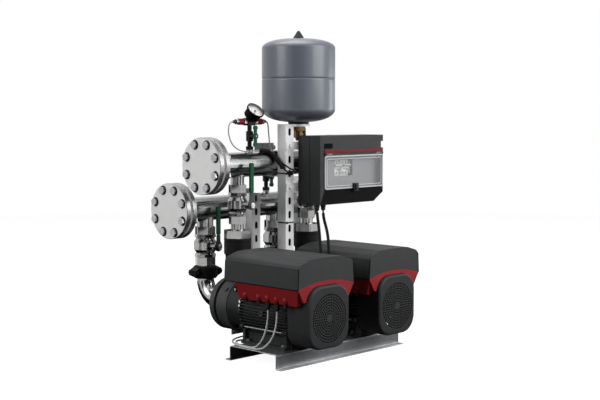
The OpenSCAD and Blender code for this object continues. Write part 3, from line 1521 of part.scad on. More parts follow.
// Leads
module signal_leads() color("gray") {
    tube(route_left_sensor, lead_r);
    tube(route_right_sensor, lead_r);
    tube(route_loop_back, loop_r);
    tube(route_loop_front, loop_r);
}

module power_leads() color("#181818") {
    tube(route_power_left, power_r);
    tube(route_power_right, power_r);
}

base_frame();
posts();
brackets();
discharge_manifold();
suction_manifold();
pipe_flanges();
flange_gaskets();
fasteners();
valve_bodies();
union_nuts();
check_valve_bodies();
pump_pipes();
grooved_couplings();
pump_casings();
motor_flanges();
motor_housings();
stator_cores();
fan_covers();
diffusers();
bearings();
shaft_seals();
terminal_trays();
terminal_covers();
drive_boards();
cable_glands();
tank_shell();
tank_diaphragm();
tank_cap();
tank_valve();
gauge_stack();
switch_stack();
pressure_gauge();
pressure_transmitters();
cabinet_housing();
breakers();
signal_leads();
power_leads();
rotor_1();
rotor_2();
fan_1();
fan_2();
discharge_lever_1();
discharge_lever_2();
suction_lever_1();
suction_lever_2();
discharge_ball_1();
discharge_ball_2();
suction_ball_1();
suction_ball_2();
check_poppet_1();
check_poppet_2();
check_spring_1();
check_spring_2();
gauge_pointer();
gauge_valve_handle();
switch_valve_handle();
tank_valve_handle();
cabinet_window();
breaker_toggle_1();
breaker_toggle_2();
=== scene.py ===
"""Finishes and fine pieces of the booster pump set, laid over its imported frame.

Lengths are written in millimetres, as on the workshop drawing, and turned to metres in the
mesh makers. X runs along the manifolds, Y from the fan ends to the suction ends, Z is up.
"""
import math

import bpy
import numpy as np
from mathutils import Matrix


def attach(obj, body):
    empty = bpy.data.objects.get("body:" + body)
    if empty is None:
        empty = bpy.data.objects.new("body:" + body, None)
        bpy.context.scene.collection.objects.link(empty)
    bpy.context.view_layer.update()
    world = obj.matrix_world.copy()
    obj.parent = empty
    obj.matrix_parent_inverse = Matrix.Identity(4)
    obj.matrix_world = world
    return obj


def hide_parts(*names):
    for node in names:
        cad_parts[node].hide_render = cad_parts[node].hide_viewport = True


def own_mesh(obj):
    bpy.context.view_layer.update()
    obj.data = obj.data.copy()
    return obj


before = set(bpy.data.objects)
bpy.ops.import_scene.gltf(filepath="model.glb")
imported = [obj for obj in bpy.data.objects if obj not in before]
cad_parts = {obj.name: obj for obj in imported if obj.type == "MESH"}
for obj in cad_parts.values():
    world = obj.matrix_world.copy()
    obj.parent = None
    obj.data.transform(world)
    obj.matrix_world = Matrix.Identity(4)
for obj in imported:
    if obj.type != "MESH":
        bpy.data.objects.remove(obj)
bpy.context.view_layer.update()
MM = 0.001
TURN = 2 * math.pi

# Main measures of the set
PUMP_X = 178.5
AXIS_Z = 170.0
FAN_END = 223.0
PORT_Y = 223.0
SUCTION_Y = 397.0
DISCHARGE_Z = 668.0
SUCTION_Z = 502.0
PIPE_R = 44.45
FLANGE_R, BOLT_CIRCLE_R, BLIND_FACE = 100.0, 80.0, 351.05
POST_HALF = 20.5
POST_TO_PIPE = 65.4
MANIFOLD_POST_Y = SUCTION_Y - POST_TO_PIPE
# The tank's axis lies in the middle plane of its post
TANK_X, TANK_Y = 68.0, PORT_Y - POST_TO_PIPE
TANK_R, TANK_Z0, TANK_TOP, TANK_SEAM = 134.0, 818.0, 1122.6, 976.0
GAUGE_X, TEE_Z = 118.0, 821.0
GAUGE_BACK = np.array([-GAUGE_X, PORT_Y - 8, TEE_Z + 17])
GAUGE_COCK = (-GAUGE_X, PORT_Y - 34.5, TEE_Z - 52)
SWITCH_COCK = (136.0, SUCTION_Y - 34.5, SUCTION_Z + 105)
CASING_R, CASING_FRONT, MOTOR_BACK = 95.0, 182.0, 122.0
COVER_HALF, COVER_FRONT, COVER_FOOT = 138.0, 208.8, 275.6
TRAY_SIDE = 121.0
GLAND_Y = (-53, -95)
BOSS_Y = (-11, *GLAND_Y, -137, 54)
WINDOW_MID = (223.5, 19.0, 636.5)
BREAKER_X, BREAKER_FACE, BREAKER_Z, BREAKER_PITCH = 150.0, 63.9, 651.0, 50.0


# Camera: the photograph's own viewpoint
def set_camera():
    """Places the camera 4.1 m away, turned 46.26 degrees from +Y and 4.29 degrees down."""
    data = bpy.data.cameras.new("camera")
    data.lens = 70.33
    data.sensor_width = 36
    data.clip_end = 50
    camera = bpy.data.objects.new("camera", data)
    camera.location = (-3.03836, -2.82248, 0.85513)
    camera.rotation_euler = (math.radians(90 - 4.29), 0, math.radians(-46.26))
    bpy.context.collection.objects.link(camera)
    bpy.context.scene.camera = camera


set_camera()


# Mesh makers
def add_mesh(name, points, faces, material, smooth=True):
    """Turns points in millimetres and a face array into an object that sits at the origin."""
    mesh = bpy.data.meshes.new(name)
    mesh.from_pydata((np.asarray(points, float) * MM).tolist(), [], [list(f) for f in faces])
    mesh.validate()
    mesh.polygons.foreach_set("use_smooth", np.full(len(mesh.polygons), smooth))
    mesh.materials.append(material)
    mesh.update()
    piece = bpy.data.objects.new(name, mesh)
    bpy.context.collection.objects.link(piece)
    return piece


def grid_faces(rows, cols, wrap_rows=False, wrap_cols=False):
    """Quads of a rows-by-cols grid of points, numbered row by row; a wrapped side closes up."""
    i = np.arange(rows if wrap_rows else rows - 1)[:, None]
    j = np.arange(cols if wrap_cols else cols - 1)[None, :]
    a = i * cols + j
    b = i * cols + (j + 1) % cols
    c = ((i + 1) % rows) * cols + (j + 1) % cols
    d = ((i + 1) % rows) * cols + j
    return np.stack([a, b, c, d], -1).reshape(-1, 4).tolist()


def closed_part(surface):
    """Points and faces of a skin over points (rows, cols, 3) that is closed round its columns
    and capped at the first and the last row."""
    rows, cols = surface.shape[:2]
    faces = grid_faces(rows, cols, wrap_cols=True)
    faces.append(list(range(cols))[::-1])
    faces.append(list(range((rows - 1) * cols, rows * cols)))
    return surface.reshape(-1, 3), faces


def sheet_piece(name, surface, material, wrap_cols=False):
    """An open sheet over an array of points (rows, cols, 3)."""
    rows, cols = surface.shape[:2]
    faces = grid_faces(rows, cols, wrap_cols=wrap_cols)
    return add_mesh(name, surface.reshape(-1, 3), faces, material, smooth=False)


def outward(points, faces):
    """Turns all faces round where the volume that they close, the sum of a . (b x c) over the
    triangles a, b, c of each face's fan, comes out negative."""
    volume = 0.0
    for size in {len(face) for face in faces}:
        f = np.array([face for face in faces if len(face) == size])
        volume += (points[f[:, :1]] * np.cross(points[f[:, 1:-1]], points[f[:, 2:]])).sum()
    return faces if volume > 0 else [face[::-1] for face in faces]


def merge(name, parts, material, smooth=True):
    """Joins several (points, faces) pairs into one piece, each with its faces outwards."""
    points, faces, start = [], [], 0
    for p, f in parts:
        p = np.asarray(p, float).reshape(-1, 3)
        points.append(p)
        faces.extend([[k + start for k in face] for face in outward(p, f)])
        start += len(p)
    return add_mesh(name, np.concatenate(points), faces, material, smooth)


def smooth_route(points, step=3.0):
    """Even points on a natural cubic spline through the route, measured along its chords."""
    p = np.asarray(points, float)
    chord = np.concatenate([[0], np.cumsum(np.linalg.norm(np.diff(p, axis=0), axis=1))])
    h = np.diff(chord)
    n = len(p)
    a = np.zeros((n, n))
    rhs = np.zeros((n, 3))
    a[0, 0] = a[-1, -1] = 1
    k = np.arange(1, n - 1)
    a[k, k - 1], a[k, k], a[k, k + 1] = h[:-1], 2 * (h[:-1] + h[1:]), h[1:]
    slope = np.diff(p, axis=0) / h[:, None]
    rhs[1:-1] = 6 * np.diff(slope, axis=0)
    m = np.linalg.solve(a, rhs)
    s = np.linspace(0, chord[-1], int(chord[-1] / step) + 2)
    i = np.clip(np.searchsorted(chord, s, side="right") - 1, 0, n - 2)
    d0, d1, hi = (s - chord[i])[:, None], (chord[i + 1] - s)[:, None], h[i][:, None]
    return (m[i] * d1 ** 3 + m[i + 1] * d0 ** 3) / (6 * hi) \
        + (p[i] / hi - m[i] * hi / 6) * d1 + (p[i + 1] / hi - m[i + 1] * hi / 6) * d0


def swept(path, section):
    """Carries a closed section (u, v pairs) along a path: point + u * side + v * up, where side
    is the heading crossed with a fixed lean and up is the heading crossed with the side."""
    lean = np.array([0.9, 0.1, 0.4])
    heading = np.gradient(path, axis=0)
    heading /= np.linalg.norm(heading, axis=1)[:, None]
    side = np.cross(heading, lean)
    side /= np.linalg.norm(side, axis=1)[:, None]
    up = np.cross(heading, side)
    return path[:, None] + section[None, :, :1] * side[:, None] + section[None, :, 1:] * up[:, None]


def circle_section(r, n=14):
    """Points r * (cos t, sin t) round a circle."""
    t = np.arange(n) * TURN / n
    return np.stack([r * np.cos(t), r * np.sin(t)], 1)


def tube_piece(name, path, r, material, n=14):
    """A round tube of radius r along the path, closed at both ends."""
    return merge(name, [closed_part(swept(path, circle_section(r, n)))], material)


AXES = {
    "z": np.array([[1, 0, 0], [0, 1, 0], [0, 0, 1]], float),
    "y": np.array([[1, 0, 0], [0, 0, -1], [0, 1, 0]], float),
    "x": np.array([[0, 1, 0], [0, 0, 1], [1, 0, 0]], float),
}


def turned(profile, centre, axis="z", n=96):
    """Lathe surface: (r cos t, r sin t, h) for each (r, h) of the profile, on an axis."""
    profile = np.asarray(profile, float)
    t = np.arange(n) * TURN / n
    local = np.stack([
        profile[:, :1] * np.cos(t), profile[:, :1] * np.sin(t), np.repeat(profile[:, 1:], n, 1)
    ], -1)
    return local @ AXES[axis] + np.asarray(centre, float)


def lathe_part(profile, centre, axis="z", n=96):
    """Points and faces of a lathe surface whose end rings are closed."""
    return closed_part(turned(profile, centre, axis, n))


def rounded(profile, radius, steps=4):
    """Replaces each inner corner of a profile by a small curve: the quadratic blend
    (1-t)^2 a + 2t(1-t) corner + t^2 b between points set back by the radius."""
    p = np.asarray(profile, float)
    out = [p[:1]]
    before, corner, after = p[:-2], p[1:-1], p[2:]
    back, ahead = before - corner, after - corner
    lb, la = np.linalg.norm(back, axis=1), np.linalg.norm(ahead, axis=1)
    cut = np.minimum(radius, 0.45 * np.minimum(lb, la))[:, None]
    a = corner + back / lb[:, None] * cut
    b = corner + ahead / la[:, None] * cut
    t = np.linspace(0, 1, steps + 1)[None, :, None]
    blend = (1 - t) ** 2 * a[:, None] + 2 * t * (1 - t) * corner[:, None] + t ** 2 * b[:, None]
    out.append(blend.reshape(-1, 2))
    out.append(p[-1:])
    return np.concatenate(out)


# Shared surface effects
def new_group(name, inputs, outputs):
    """An empty shader node group with named float or vector sockets."""
    group = bpy.data.node_groups.new(name, "ShaderNodeTree")
    for label, kind, value in inputs:
        socket = group.interface.new_socket(label, in_out="INPUT", socket_type=kind)
        socket.default_value = value
    for label, kind in outputs:
        group.interface.new_socket(label, in_out="OUTPUT", socket_type=kind)
    nodes = group.nodes
    return group, nodes, group.links, nodes.new("NodeGroupInput"), nodes.new("NodeGroupOutput")


def grain_group():
    """Broad mottling and fine grain from two noise fields on object coordinates, each 0 to 1.
    The stretch vector draws the grain out along one axis, as rolling or brushing does."""
    group, nodes, links, inp, out = new_group(
        "surface_grain",
        [("Broad Scale", "NodeSocketFloat", 12.0), ("Fine Scale", "NodeSocketFloat", 600.0),
         ("Stretch", "NodeSocketVector", (1.0, 1.0, 1.0))],
        [("Broad", "NodeSocketFloat"), ("Fine", "NodeSocketFloat")],
    )
    coord = nodes.new("ShaderNodeTexCoord")
    place = nodes.new("ShaderNodeMapping")
    links.new(coord.outputs["Object"], place.inputs["Vector"])
    links.new(inp.outputs["Stretch"], place.inputs["Scale"])
    for label, detail in (("Broad", 3.0), ("Fine", 2.0)):
        noise = nodes.new("ShaderNodeTexNoise")
        noise.inputs["Detail"].default_value = detail
        noise.inputs["Roughness"].default_value = 0.55
        source = place.outputs["Vector"] if label == "Fine" else coord.outputs["Object"]
        links.new(source, noise.inputs["Vector"])
        links.new(inp.outputs[label + " Scale"], noise.inputs["Scale"])
        spread = nodes.new("ShaderNodeMapRange")
        spread.inputs["From Min"].default_value = 0.3
        spread.inputs["From Max"].default_value = 0.7
        links.new(noise.outputs["Fac"], spread.inputs["Value"])
        links.new(spread.outputs["Result"], out.inputs[label])
    return group


def edge_group():
    """A mask for worn edges, also used to paint a highlight along them: how far the rounded normal of the
    bevel turns from the true one.
    """
    group, nodes, links, inp, out = new_group(
        "edge_wear_and_highlight",
        [("Width", "NodeSocketFloat", 0.0015), ("Gain", "NodeSocketFloat", 6.0)],
        [("Edge", "NodeSocketFloat"), ("Normal", "NodeSocketVector")],
    )
    bevel = nodes.new("ShaderNodeBevel")
    bevel.samples = 4
    links.new(inp.outputs["Width"], bevel.inputs["Radius"])
    shape = nodes.new("ShaderNodeNewGeometry")
    dot = nodes.new("ShaderNodeVectorMath")
    dot.operation = "DOT_PRODUCT"
    links.new(bevel.outputs["Normal"], dot.inputs[0])
    links.new(shape.outputs["Normal"], dot.inputs[1])
    turn = nodes.new("ShaderNodeMath")
    turn.operation = "SUBTRACT"
    turn.inputs[0].default_value = 1.0
    links.new(dot.outputs["Value"], turn.inputs[1])
    gain = nodes.new("ShaderNodeMath")
    gain.operation = "MULTIPLY"
    gain.use_clamp = True
    links.new(turn.outputs[0], gain.inputs[0])
    links.new(inp.outputs["Gain"], gain.inputs[1])
    links.new(gain.outputs[0], out.inputs["Edge"])
    links.new(bevel.outputs["Normal"], out.inputs["Normal"])
    return group


GRAIN = grain_group()
EDGE = edge_group()


def linear(rgb):
    """Display colour, 0 to 255 for each channel, as the linear colour that a shader takes."""
    c = np.asarray(rgb, float) / 255
    return np.where(c <= 0.04045, c / 12.92, ((c + 0.055) / 1.055) ** 2.4)


def tone(rgb, gain=1.0):
    """The same colour made lighter or darker, with an alpha of one."""
    return (*np.clip(linear(rgb) * gain, 0, 1), 1.0)


def finish(name, rgb, rough, metal=0.0, vary=0.12, broad=14.0, fine=700.0, stretch=(1, 1, 1),
           bump=0.12, rough_vary=0.08, wear_and_highlight=0.0, wear_and_highlight_rgb=None, coat=0.0, alpha=1.0, specular=0.5):
    """A finish with mottled colour, grained roughness, a fine bump, and edges made lighter, partly as wear
    and partly as a painted highlight.
    """
    m = bpy.data.materials.new(name)
    m.use_nodes = True
    nodes, links = m.node_tree.nodes, m.node_tree.links
    bsdf = nodes["Principled BSDF"]
    bsdf.inputs["Metallic"].default_value = metal
    bsdf.inputs["Specular IOR Level"].default_value = specular
    bsdf.inputs["Coat Weight"].default_value = coat
    bsdf.inputs["Coat Roughness"].default_value = 0.12
    bsdf.inputs["Alpha"].default_value = alpha
    grain = nodes.new("ShaderNodeGroup")
    grain.node_tree = GRAIN
    grain.inputs["Broad Scale"].default_value = broad
    grain.inputs["Fine Scale"].default_value = fine
    grain.inputs["Stretch"].default_value = stretch
    colour = nodes.new("ShaderNodeMix")
    colour.data_type = "RGBA"
    colour.inputs["A"].default_value = tone(rgb, 1 - vary)
    colour.inputs["B"].default_value = tone(rgb, 1 + vary)
    links.new(grain.outputs["Broad"], colour.inputs["Factor"])
    shade = colour.outputs["Result"]
    level = nodes.new("ShaderNodeMapRange")
    level.inputs["To Min"].default_value = max(0.02, rough - rough_vary)
    level.inputs["To Max"].default_value = min(1.0, rough + rough_vary)
    links.new(grain.outputs["Fine"], level.inputs["Value"])
    links.new(level.outputs["Result"], bsdf.inputs["Roughness"])
    relief = nodes.new("ShaderNodeBump")
    relief.inputs["Strength"].default_value = bump
    relief.inputs["Distance"].default_value = 0.0004
    links.new(grain.outputs["Fine"], relief.inputs["Height"])
    # Edges lighter, by 1.8 or to a colour of their own: partly wear, partly a painted highlight.
    if wear_and_highlight > 0:
        edge = nodes.new("ShaderNodeGroup")
        edge.node_tree = EDGE
        edge.inputs["Width"].default_value = wear_and_highlight
        worn_and_lit = nodes.new("ShaderNodeMix")
        worn_and_lit.data_type = "RGBA"
        worn_and_lit.inputs["B"].default_value = tone(wear_and_highlight_rgb or rgb, 1.0 if wear_and_highlight_rgb else 1.8)
        links.new(edge.outputs["Edge"], worn_and_lit.inputs["Factor"])
        links.new(shade, worn_and_lit.inputs["A"])
        shade = worn_and_lit.outputs["Result"]
        links.new(edge.outputs["Normal"], relief.inputs["Normal"])
    links.new(shade, bsdf.inputs["Base Color"])
    links.new(relief.outputs["Normal"], bsdf.inputs["Normal"])
    return m


FIN = {
    "galvanised": finish("galvanised", (160, 162, 164), 0.36, 0.85, 0.1, 40, 500, bump=0.08, wear_and_highlight=0.0025,
                         wear_and_highlight_rgb=(238, 239, 240)),
    "post": finish("post_steel", (250, 250, 250), 0.36, 0.05, 0.03, 10, 600, (1, 1, 0.04), 0.06, wear_and_highlight=0.0008),
    "stainless": finish("stainless", (170, 171, 171), 0.18, 1.0, 0.05, 8, 900, (0.03, 1, 1), 0.05),
    "riser": finish("riser_steel", (172, 171, 169), 0.18, 1.0, 0.06, 20, 900, (1, 1, 0.05), 0.05),
    "flange": finish("flange_steel", (248, 248, 247), 0.4, 0.08, 0.03, 20, 900, bump=0.08, wear_and_highlight=0.0012),
    "flange_rim": finish("flange_rim", (150, 150, 150), 0.28, 0.9, 0.06, 20, 900, (1, 0.1, 0.1), 0.06),
    "bolt": finish("zinc_bolts", (166, 167, 169), 0.26, 1.0, 0.1, 60, 900, wear_and_highlight=0.0006),
    # Near black washers: painted shadow round the bolt heads.
    "washer": finish("washer_black", (40, 40, 42), 0.45, 0.3, 0.15, 60, 900, specular=0.2),
    # Painted shade for the insides of the posts.
    "hollow": finish("post_hollow_painted_shade", (30, 30, 31), 0.7, 0.0, 0.2, specular=0.1),
    "valve": finish("valve_steel", (158, 158, 157), 0.15, 1.0, 0.06, 40, 700, bump=0.08, wear_and_highlight=0.001),
    "gasket": finish("gasket_rubber", (38, 38, 40), 0.8, 0.0, 0.2, specular=0.2),
    "iron": finish("black_iron", (22, 22, 23), 0.5, 0.0, 0.25, 30, 500, bump=0.35, wear_and_highlight=0.0015, specular=0.1),
    "casing": finish("casing_black", (68, 69, 70), 0.42, 0.0, 0.2, 30, 700, bump=0.3, wear_and_highlight=0.0012,
                     specular=0.25),
    "adapter": finish("adapter_black", (36, 37, 38), 0.4, 0.0, 0.2, 30, 700, bump=0.3, wear_and_highlight=0.0012,
                      specular=0.2),
    "motor": finish("motor_black", (52, 53, 54), 0.42, 0.0, 0.2, 30, 700, bump=0.3, wear_and_highlight=0.0012, specular=0.2),
    "core": finish("core_steel", (120, 96, 76), 0.5, 0.6, 0.2),
    "fan_cover": finish("fan_cover_black", (48, 49, 50), 0.48, 0.0, 0.06, 25, 1100, bump=0.3, wear_and_highlight=0.002,
                        wear_and_highlight_rgb=(92, 93, 94), specular=0.15),
    "grille": finish("grille_black", (55, 56, 57), 0.48, 0.0, 0.06, 25, 1100, bump=0.3, specular=0.15),
    "tray": finish("tray_red", (144, 34, 38), 0.45, 0.0, 0.08, 20, 1100, bump=0.3, wear_and_highlight=0.0015, specular=0.2),
    "cover": finish("cover_grey", (52, 53, 54), 0.5, 0.0, 0.06, 18, 1000, bump=0.35, wear_and_highlight=0.0015,
                    specular=0.2),
    "board": finish("board_green", (30, 92, 52), 0.5, 0.0, 0.2, 90),
    "gland": finish("gland_black", (36, 36, 37), 0.5, 0.0, 0.15, wear_and_highlight=0.0008, specular=0.2),
    "tank": finish("tank_paint", (98, 104, 114), 0.34, 0.0, 0.03, 6, 900, bump=0.12, coat=0.1),
    "cap": finish("cap_black", (36, 37, 40), 0.5, 0.0, 0.1, specular=0.2),
    "brass": finish("valve_brass", (106, 86, 56), 0.24, 1.0, 0.14, 60, 800, wear_and_highlight=0.0008),
    "stack": finish("stack_steel", (40, 40, 41), 0.2, 1.0, 0.1, 40, 800, wear_and_highlight=0.0008),
    "gauge": finish("gauge_black", (9, 9, 10), 0.5, 0.0, 0.15, specular=0.04),
    "sensor": finish("sensor_red", (122, 20, 42), 0.4, 0.0, 0.12, wear_and_highlight=0.0008, specular=0.2),
    "cabinet": finish("cabinet_black", (47, 48, 49), 0.5, 0.0, 0.07, 16, 1000, bump=0.35, wear_and_highlight=0.0012,
                      specular=0.2),
    "cabinet_low": finish("cabinet_lower_black", (20, 20, 21), 0.6, 0.0, 0.07, 16, 1000, bump=0.35,
                          wear_and_highlight=0.0012, specular=0.03),
    "panel": finish("panel_grey", (142, 143, 144), 0.5, 0.0, 0.04, 20, 1000),
    "strip": finish("strip_red", (116, 26, 36), 0.45, 0.0, 0.06, specular=0.15),
    "breaker": finish("breaker_white", (250, 250, 248), 0.45, 0.0, 0.02, 40, wear_and_highlight=0.0006),
    # Near white and half clear: a painted highlight on the window's edges.
    "rim": finish("window_rim", (250, 250, 250), 0.12, 0.0, 0.02, 6, 300, bump=0.02, alpha=0.5),
    "plate": finish("plate_black", (8, 8, 9), 0.6, 0.0, 0.1, specular=0.03),
    "lead_grey": finish("lead_grey", (150, 150, 148), 0.45, 0.0, 0.08, 60),
    "lead_light": finish("lead_light_grey", (214, 214, 212), 0.45, 0.0, 0.06, 60),
    "lead_black": finish("lead_black", (14, 14, 15), 0.5, 0.0, 0.15, 60, specular=0.1),
    # Near black: the fan's own black, and painted shade inside the fan covers behind the grille holes.
    "fan": finish("fan_black", (4, 4, 5), 0.8, 0.0, 0.15, specular=0.02),
    "lever": finish("lever_green", (5, 78, 50), 0.4, 0.0, 0.1, 40, 900, wear_and_highlight=0.001, specular=0.2),
    "ball": finish("chrome_ball", (214, 214, 212), 0.12, 1.0, 0.04, 40, 900),
    "spring": finish("spring_steel", (170, 170, 168), 0.3, 1.0, 0.1),
    "pointer": finish("pointer_black", (22, 22, 22), 0.5, 0.0, 0.1, specular=0.2),
    "dial": finish("dial_white", (252, 252, 250), 0.5, 0.0, 0.01),
    "toggle": finish("toggle_black", (34, 34, 35), 0.5, 0.0, 0.1, wear_and_highlight=0.0006, specular=0.2),
    "sensor_end": finish("sensor_end", (44, 44, 46), 0.5, 0.0, 0.1, specular=0.2),
    "switch_box": finish("switch_box", (86, 87, 89), 0.45, 0.0, 0.08, 20, 1000, bump=0.3, wear_and_highlight=0.001,
                         specular=0.3),
    "lever_plate": finish("lever_plate", (58, 58, 60), 0.4, 0.4, 0.1, wear_and_highlight=0.0008),
    "tie": finish("tie_black", (20, 20, 21), 0.4, 0.0, 0.1, specular=0.3),
    "wrap": finish("wrap_black", (12, 12, 13), 0.5, 0.0, 0.15, 60, 700, bump=0.4, specular=0.12),
    "weld": finish("weld_steel", (168, 164, 158), 0.35, 1.0, 0.25, 90, 500, bump=0.5),
    "mark": finish("dial_marks", (24, 24, 26), 0.6, 0.0, 0.1, specular=0.1),
    "glass": finish("gauge_glass", (236, 238, 240), 0.05, 0.0, 0.01, 6, 300, bump=0.02, rough_vary=0.03,
                    alpha=0.08),
    "window": finish("window_clear", (214, 218, 220), 0.06, 0.0, 0.03, 6, 300, bump=0.02,
                     rough_vary=0.03, alpha=0.16),
}

NODE_FINISH = {
    "base_frame": "galvanised", "posts": "post", "brackets": "post",
    "discharge_manifold": "stainless", "suction_manifold": "stainless",
    "pipe_flanges": "flange", "flange_gaskets": "gasket",
    "fasteners": "bolt", "valve_bodies": "valve", "union_nuts": "valve",
    "check_valve_bodies": "iron", "pump_pipes": "riser", "grooved_couplings": "iron",
    "pump_casings": "casing", "motor_flanges": "adapter", "motor_housings": "motor",
    "stator_cores": "core", "fan_covers": "fan_cover", "diffusers": "stainless",
    "bearings": "bolt", "shaft_seals": "gasket", "terminal_trays": "tray",
    "terminal_covers": "cover", "drive_boards": "board", "cable_glands": "gland",
    "tank_shell": "tank", "tank_diaphragm": "gasket", "tank_cap": "cap", "tank_valve": "brass",
    "gauge_stack": "stack", "switch_stack": "stack", "pressure_gauge": "gauge",
    "pressure_transmitters": "sensor", "cabinet_housing": "cabinet", "breakers": "breaker",
    "signal_leads": "lead_grey", "power_leads": "lead_black",
    "gauge_pointer": "pointer", "gauge_valve_handle": "lever", "switch_valve_handle": "lever",
    "tank_valve_handle": "cap", "cabinet_window": "window",
}
PAIR_FINISH = {
    "rotor": "ball", "fan": "fan", "discharge_lever": "lever", "suction_lever": "lever",
    "discharge_ball": "ball", "suction_ball": "ball", "check_poppet": "brass",
    "check_spring": "spring", "breaker_toggle": "breaker",
}


def dress(node, key):
    """Gives a carried-over CAD node one finish."""
    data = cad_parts[node].data
    data.materials.clear()
    data.materials.append(FIN[key])


for node_name, finish_key in NODE_FINISH.items():
    dress(node_name, finish_key)
for pair_name, finish_key in PAIR_FINISH.items():
    dress(pair_name + "_1", finish_key)
    dress(pair_name + "_2", finish_key)


def second_finish(node, key, inside):
    """Paints the triangles of a CAD node whose centres pass a test on (x, y, z) in mm."""
    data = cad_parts[node].data
    centres = np.zeros(len(data.polygons) * 3)
    data.polygons.foreach_get("center", centres)
    x, y, z = (centres.reshape(-1, 3) / MM).T
    slots = np.zeros(len(data.polygons), int)
    data.polygons.foreach_get("material_index", slots)
    data.materials.append(FIN[key])
    slots[inside(x, y, z)] = len(data.materials) - 1
    data.polygons.foreach_set("material_index", slots)


# Parts of a node in a finish of their own
def gauge_frame(x, y, z):
    """Radius from the gauge's axis and height along it, for points in millimetres. The axis
    starts at the back of the case and leans half way from straight up to the front."""
    axis = np.array([0, -math.sqrt(0.5), math.sqrt(0.5)])
    rel = np.stack([x, y, z], -1) - GAUGE_BACK
    height = rel @ axis
    return np.linalg.norm(rel - height[:, None] * axis, axis=1), height


def off_shaft(x, z):
    """Distance from the shaft line of the nearer pump."""
    return np.hypot(abs(x) - PUMP_X, z - AXIS_Z)


def within(value, low, high):
    """True where a value lies between two limits."""
    return (value > low) & (value < high)


def in_post(x, y, z):
    """True inside the hollow of either post, where painted shade goes."""
    hollow = POST_HALF - 2.2
    off_middle = np.minimum(abs(y - TANK_Y), abs(y - MANIFOLD_POST_Y))
    return (abs(x) < hollow) & (off_middle < hollow)


def on_rim(x, y, z):
    """True on the round edge of a flange, seen along either manifold."""
    upper = np.hypot(y - PORT_Y, z - DISCHARGE_Z)
    lower = np.hypot(y - SUCTION_Y, z - SUCTION_Z)
    return np.minimum(upper, lower) > FLANGE_R - 3


def paint_nodes():
    """Second finishes: panel, strip and latch of the cabinet, grilles of the fan covers and the
    painted shade behind their holes, steel and end caps of the transmitters, painted shade in the
    hollows of the posts and bolts of the posts, a painted highlight on the fin ends of the
    motors, rims of the flanges, the switch box, the bare steel of the levers, and the dial and glass of the
    gauge."""
    low_x, low_y, low_z = 60, 26, 573
    panel_x, panel_y, panel_z = (58, 385.5), (51.5, 54.5), (572, 704)
    strip_z, strip_back, latch_half, latch_top = (707.5, 719.5), 23.9, 13.5, 600
    grille_r, grille_face = 84, 0.4 - FAN_END
    fin_r, fin_step = 95.8, 14.3
    bolt_half, bolt_y = 14, (118, 140)
    switch_box_foot = 678.5
    second_finish("cabinet_housing", "cabinet_low", lambda x, y, z: (x > low_x) & (y < low_y) & (z < low_z))
    second_finish("cabinet_housing", "strip", lambda x, y, z: within(z, *strip_z) & (y < strip_back))
    second_finish("cabinet_housing", "panel", lambda x, y, z: within(x, *panel_x)
                  & within(y, *panel_y) & within(z, *panel_z))
    second_finish("cabinet_window", "toggle", lambda x, y, z: (abs(x - WINDOW_MID[0]) < latch_half)
                  & (y < WINDOW_MID[1] + 0.5) & (z < latch_top))
    second_finish("fan_covers", "grille", lambda x, y, z: (y < grille_face) & (off_shaft(x, z) < grille_r))
    # Painted shade: the inside of each fan cover behind the grille is painted near black.
    second_finish("fan_covers", "fan", lambda x, y, z: (y > grille_face) & (off_shaft(x, z) < grille_r))
    for key, low, high in (("sensor_end", 59, 90), ("bolt", -1, 32)):
        second_finish("pressure_transmitters", key, lambda x, y, z: within(abs(x + GAUGE_X), low, high))
    # Painted shade: the insides of the posts are painted dark.
    second_finish("posts", "hollow", in_post)
    second_finish("fasteners", "post", lambda x, y, z: (abs(x) < bolt_half) & within(y, *bolt_y))
    # Painted highlight: chrome on short stretches of the fin ends, set at the fin pitch, as a row of glints.
    second_finish("motor_housings", "ball", lambda x, y, z: within(y, MOTOR_BACK - 9, MOTOR_BACK + 0.2)
                  & (abs(off_shaft(x, z) - fin_r) < 0.9)
                  & (np.cos((z - AXIS_Z) * TURN / fin_step) > 0.2))
    second_finish("pipe_flanges", "flange_rim", on_rim)
    second_finish("switch_stack", "switch_box", lambda x, y, z: z > switch_box_foot)
    for node, plate_top in (("discharge_lever", 570.9), ("suction_lever", 409.9)):
        for i in (1, 2):
            second_finish(f"{node}_{i}", "lever_plate", lambda x, y, z: z < plate_top)
    for key, low, high, r_max in (("dial", 26.9, 28.3, 29.2), ("glass", 33.4, 35.8, 31.0)):
        def on_disc(x, y, z):
            r, h = gauge_frame(x, y, z)
            return within(h, low, high) & (r < r_max)
        second_finish("pressure_gauge", key, on_disc)


paint_nodes()

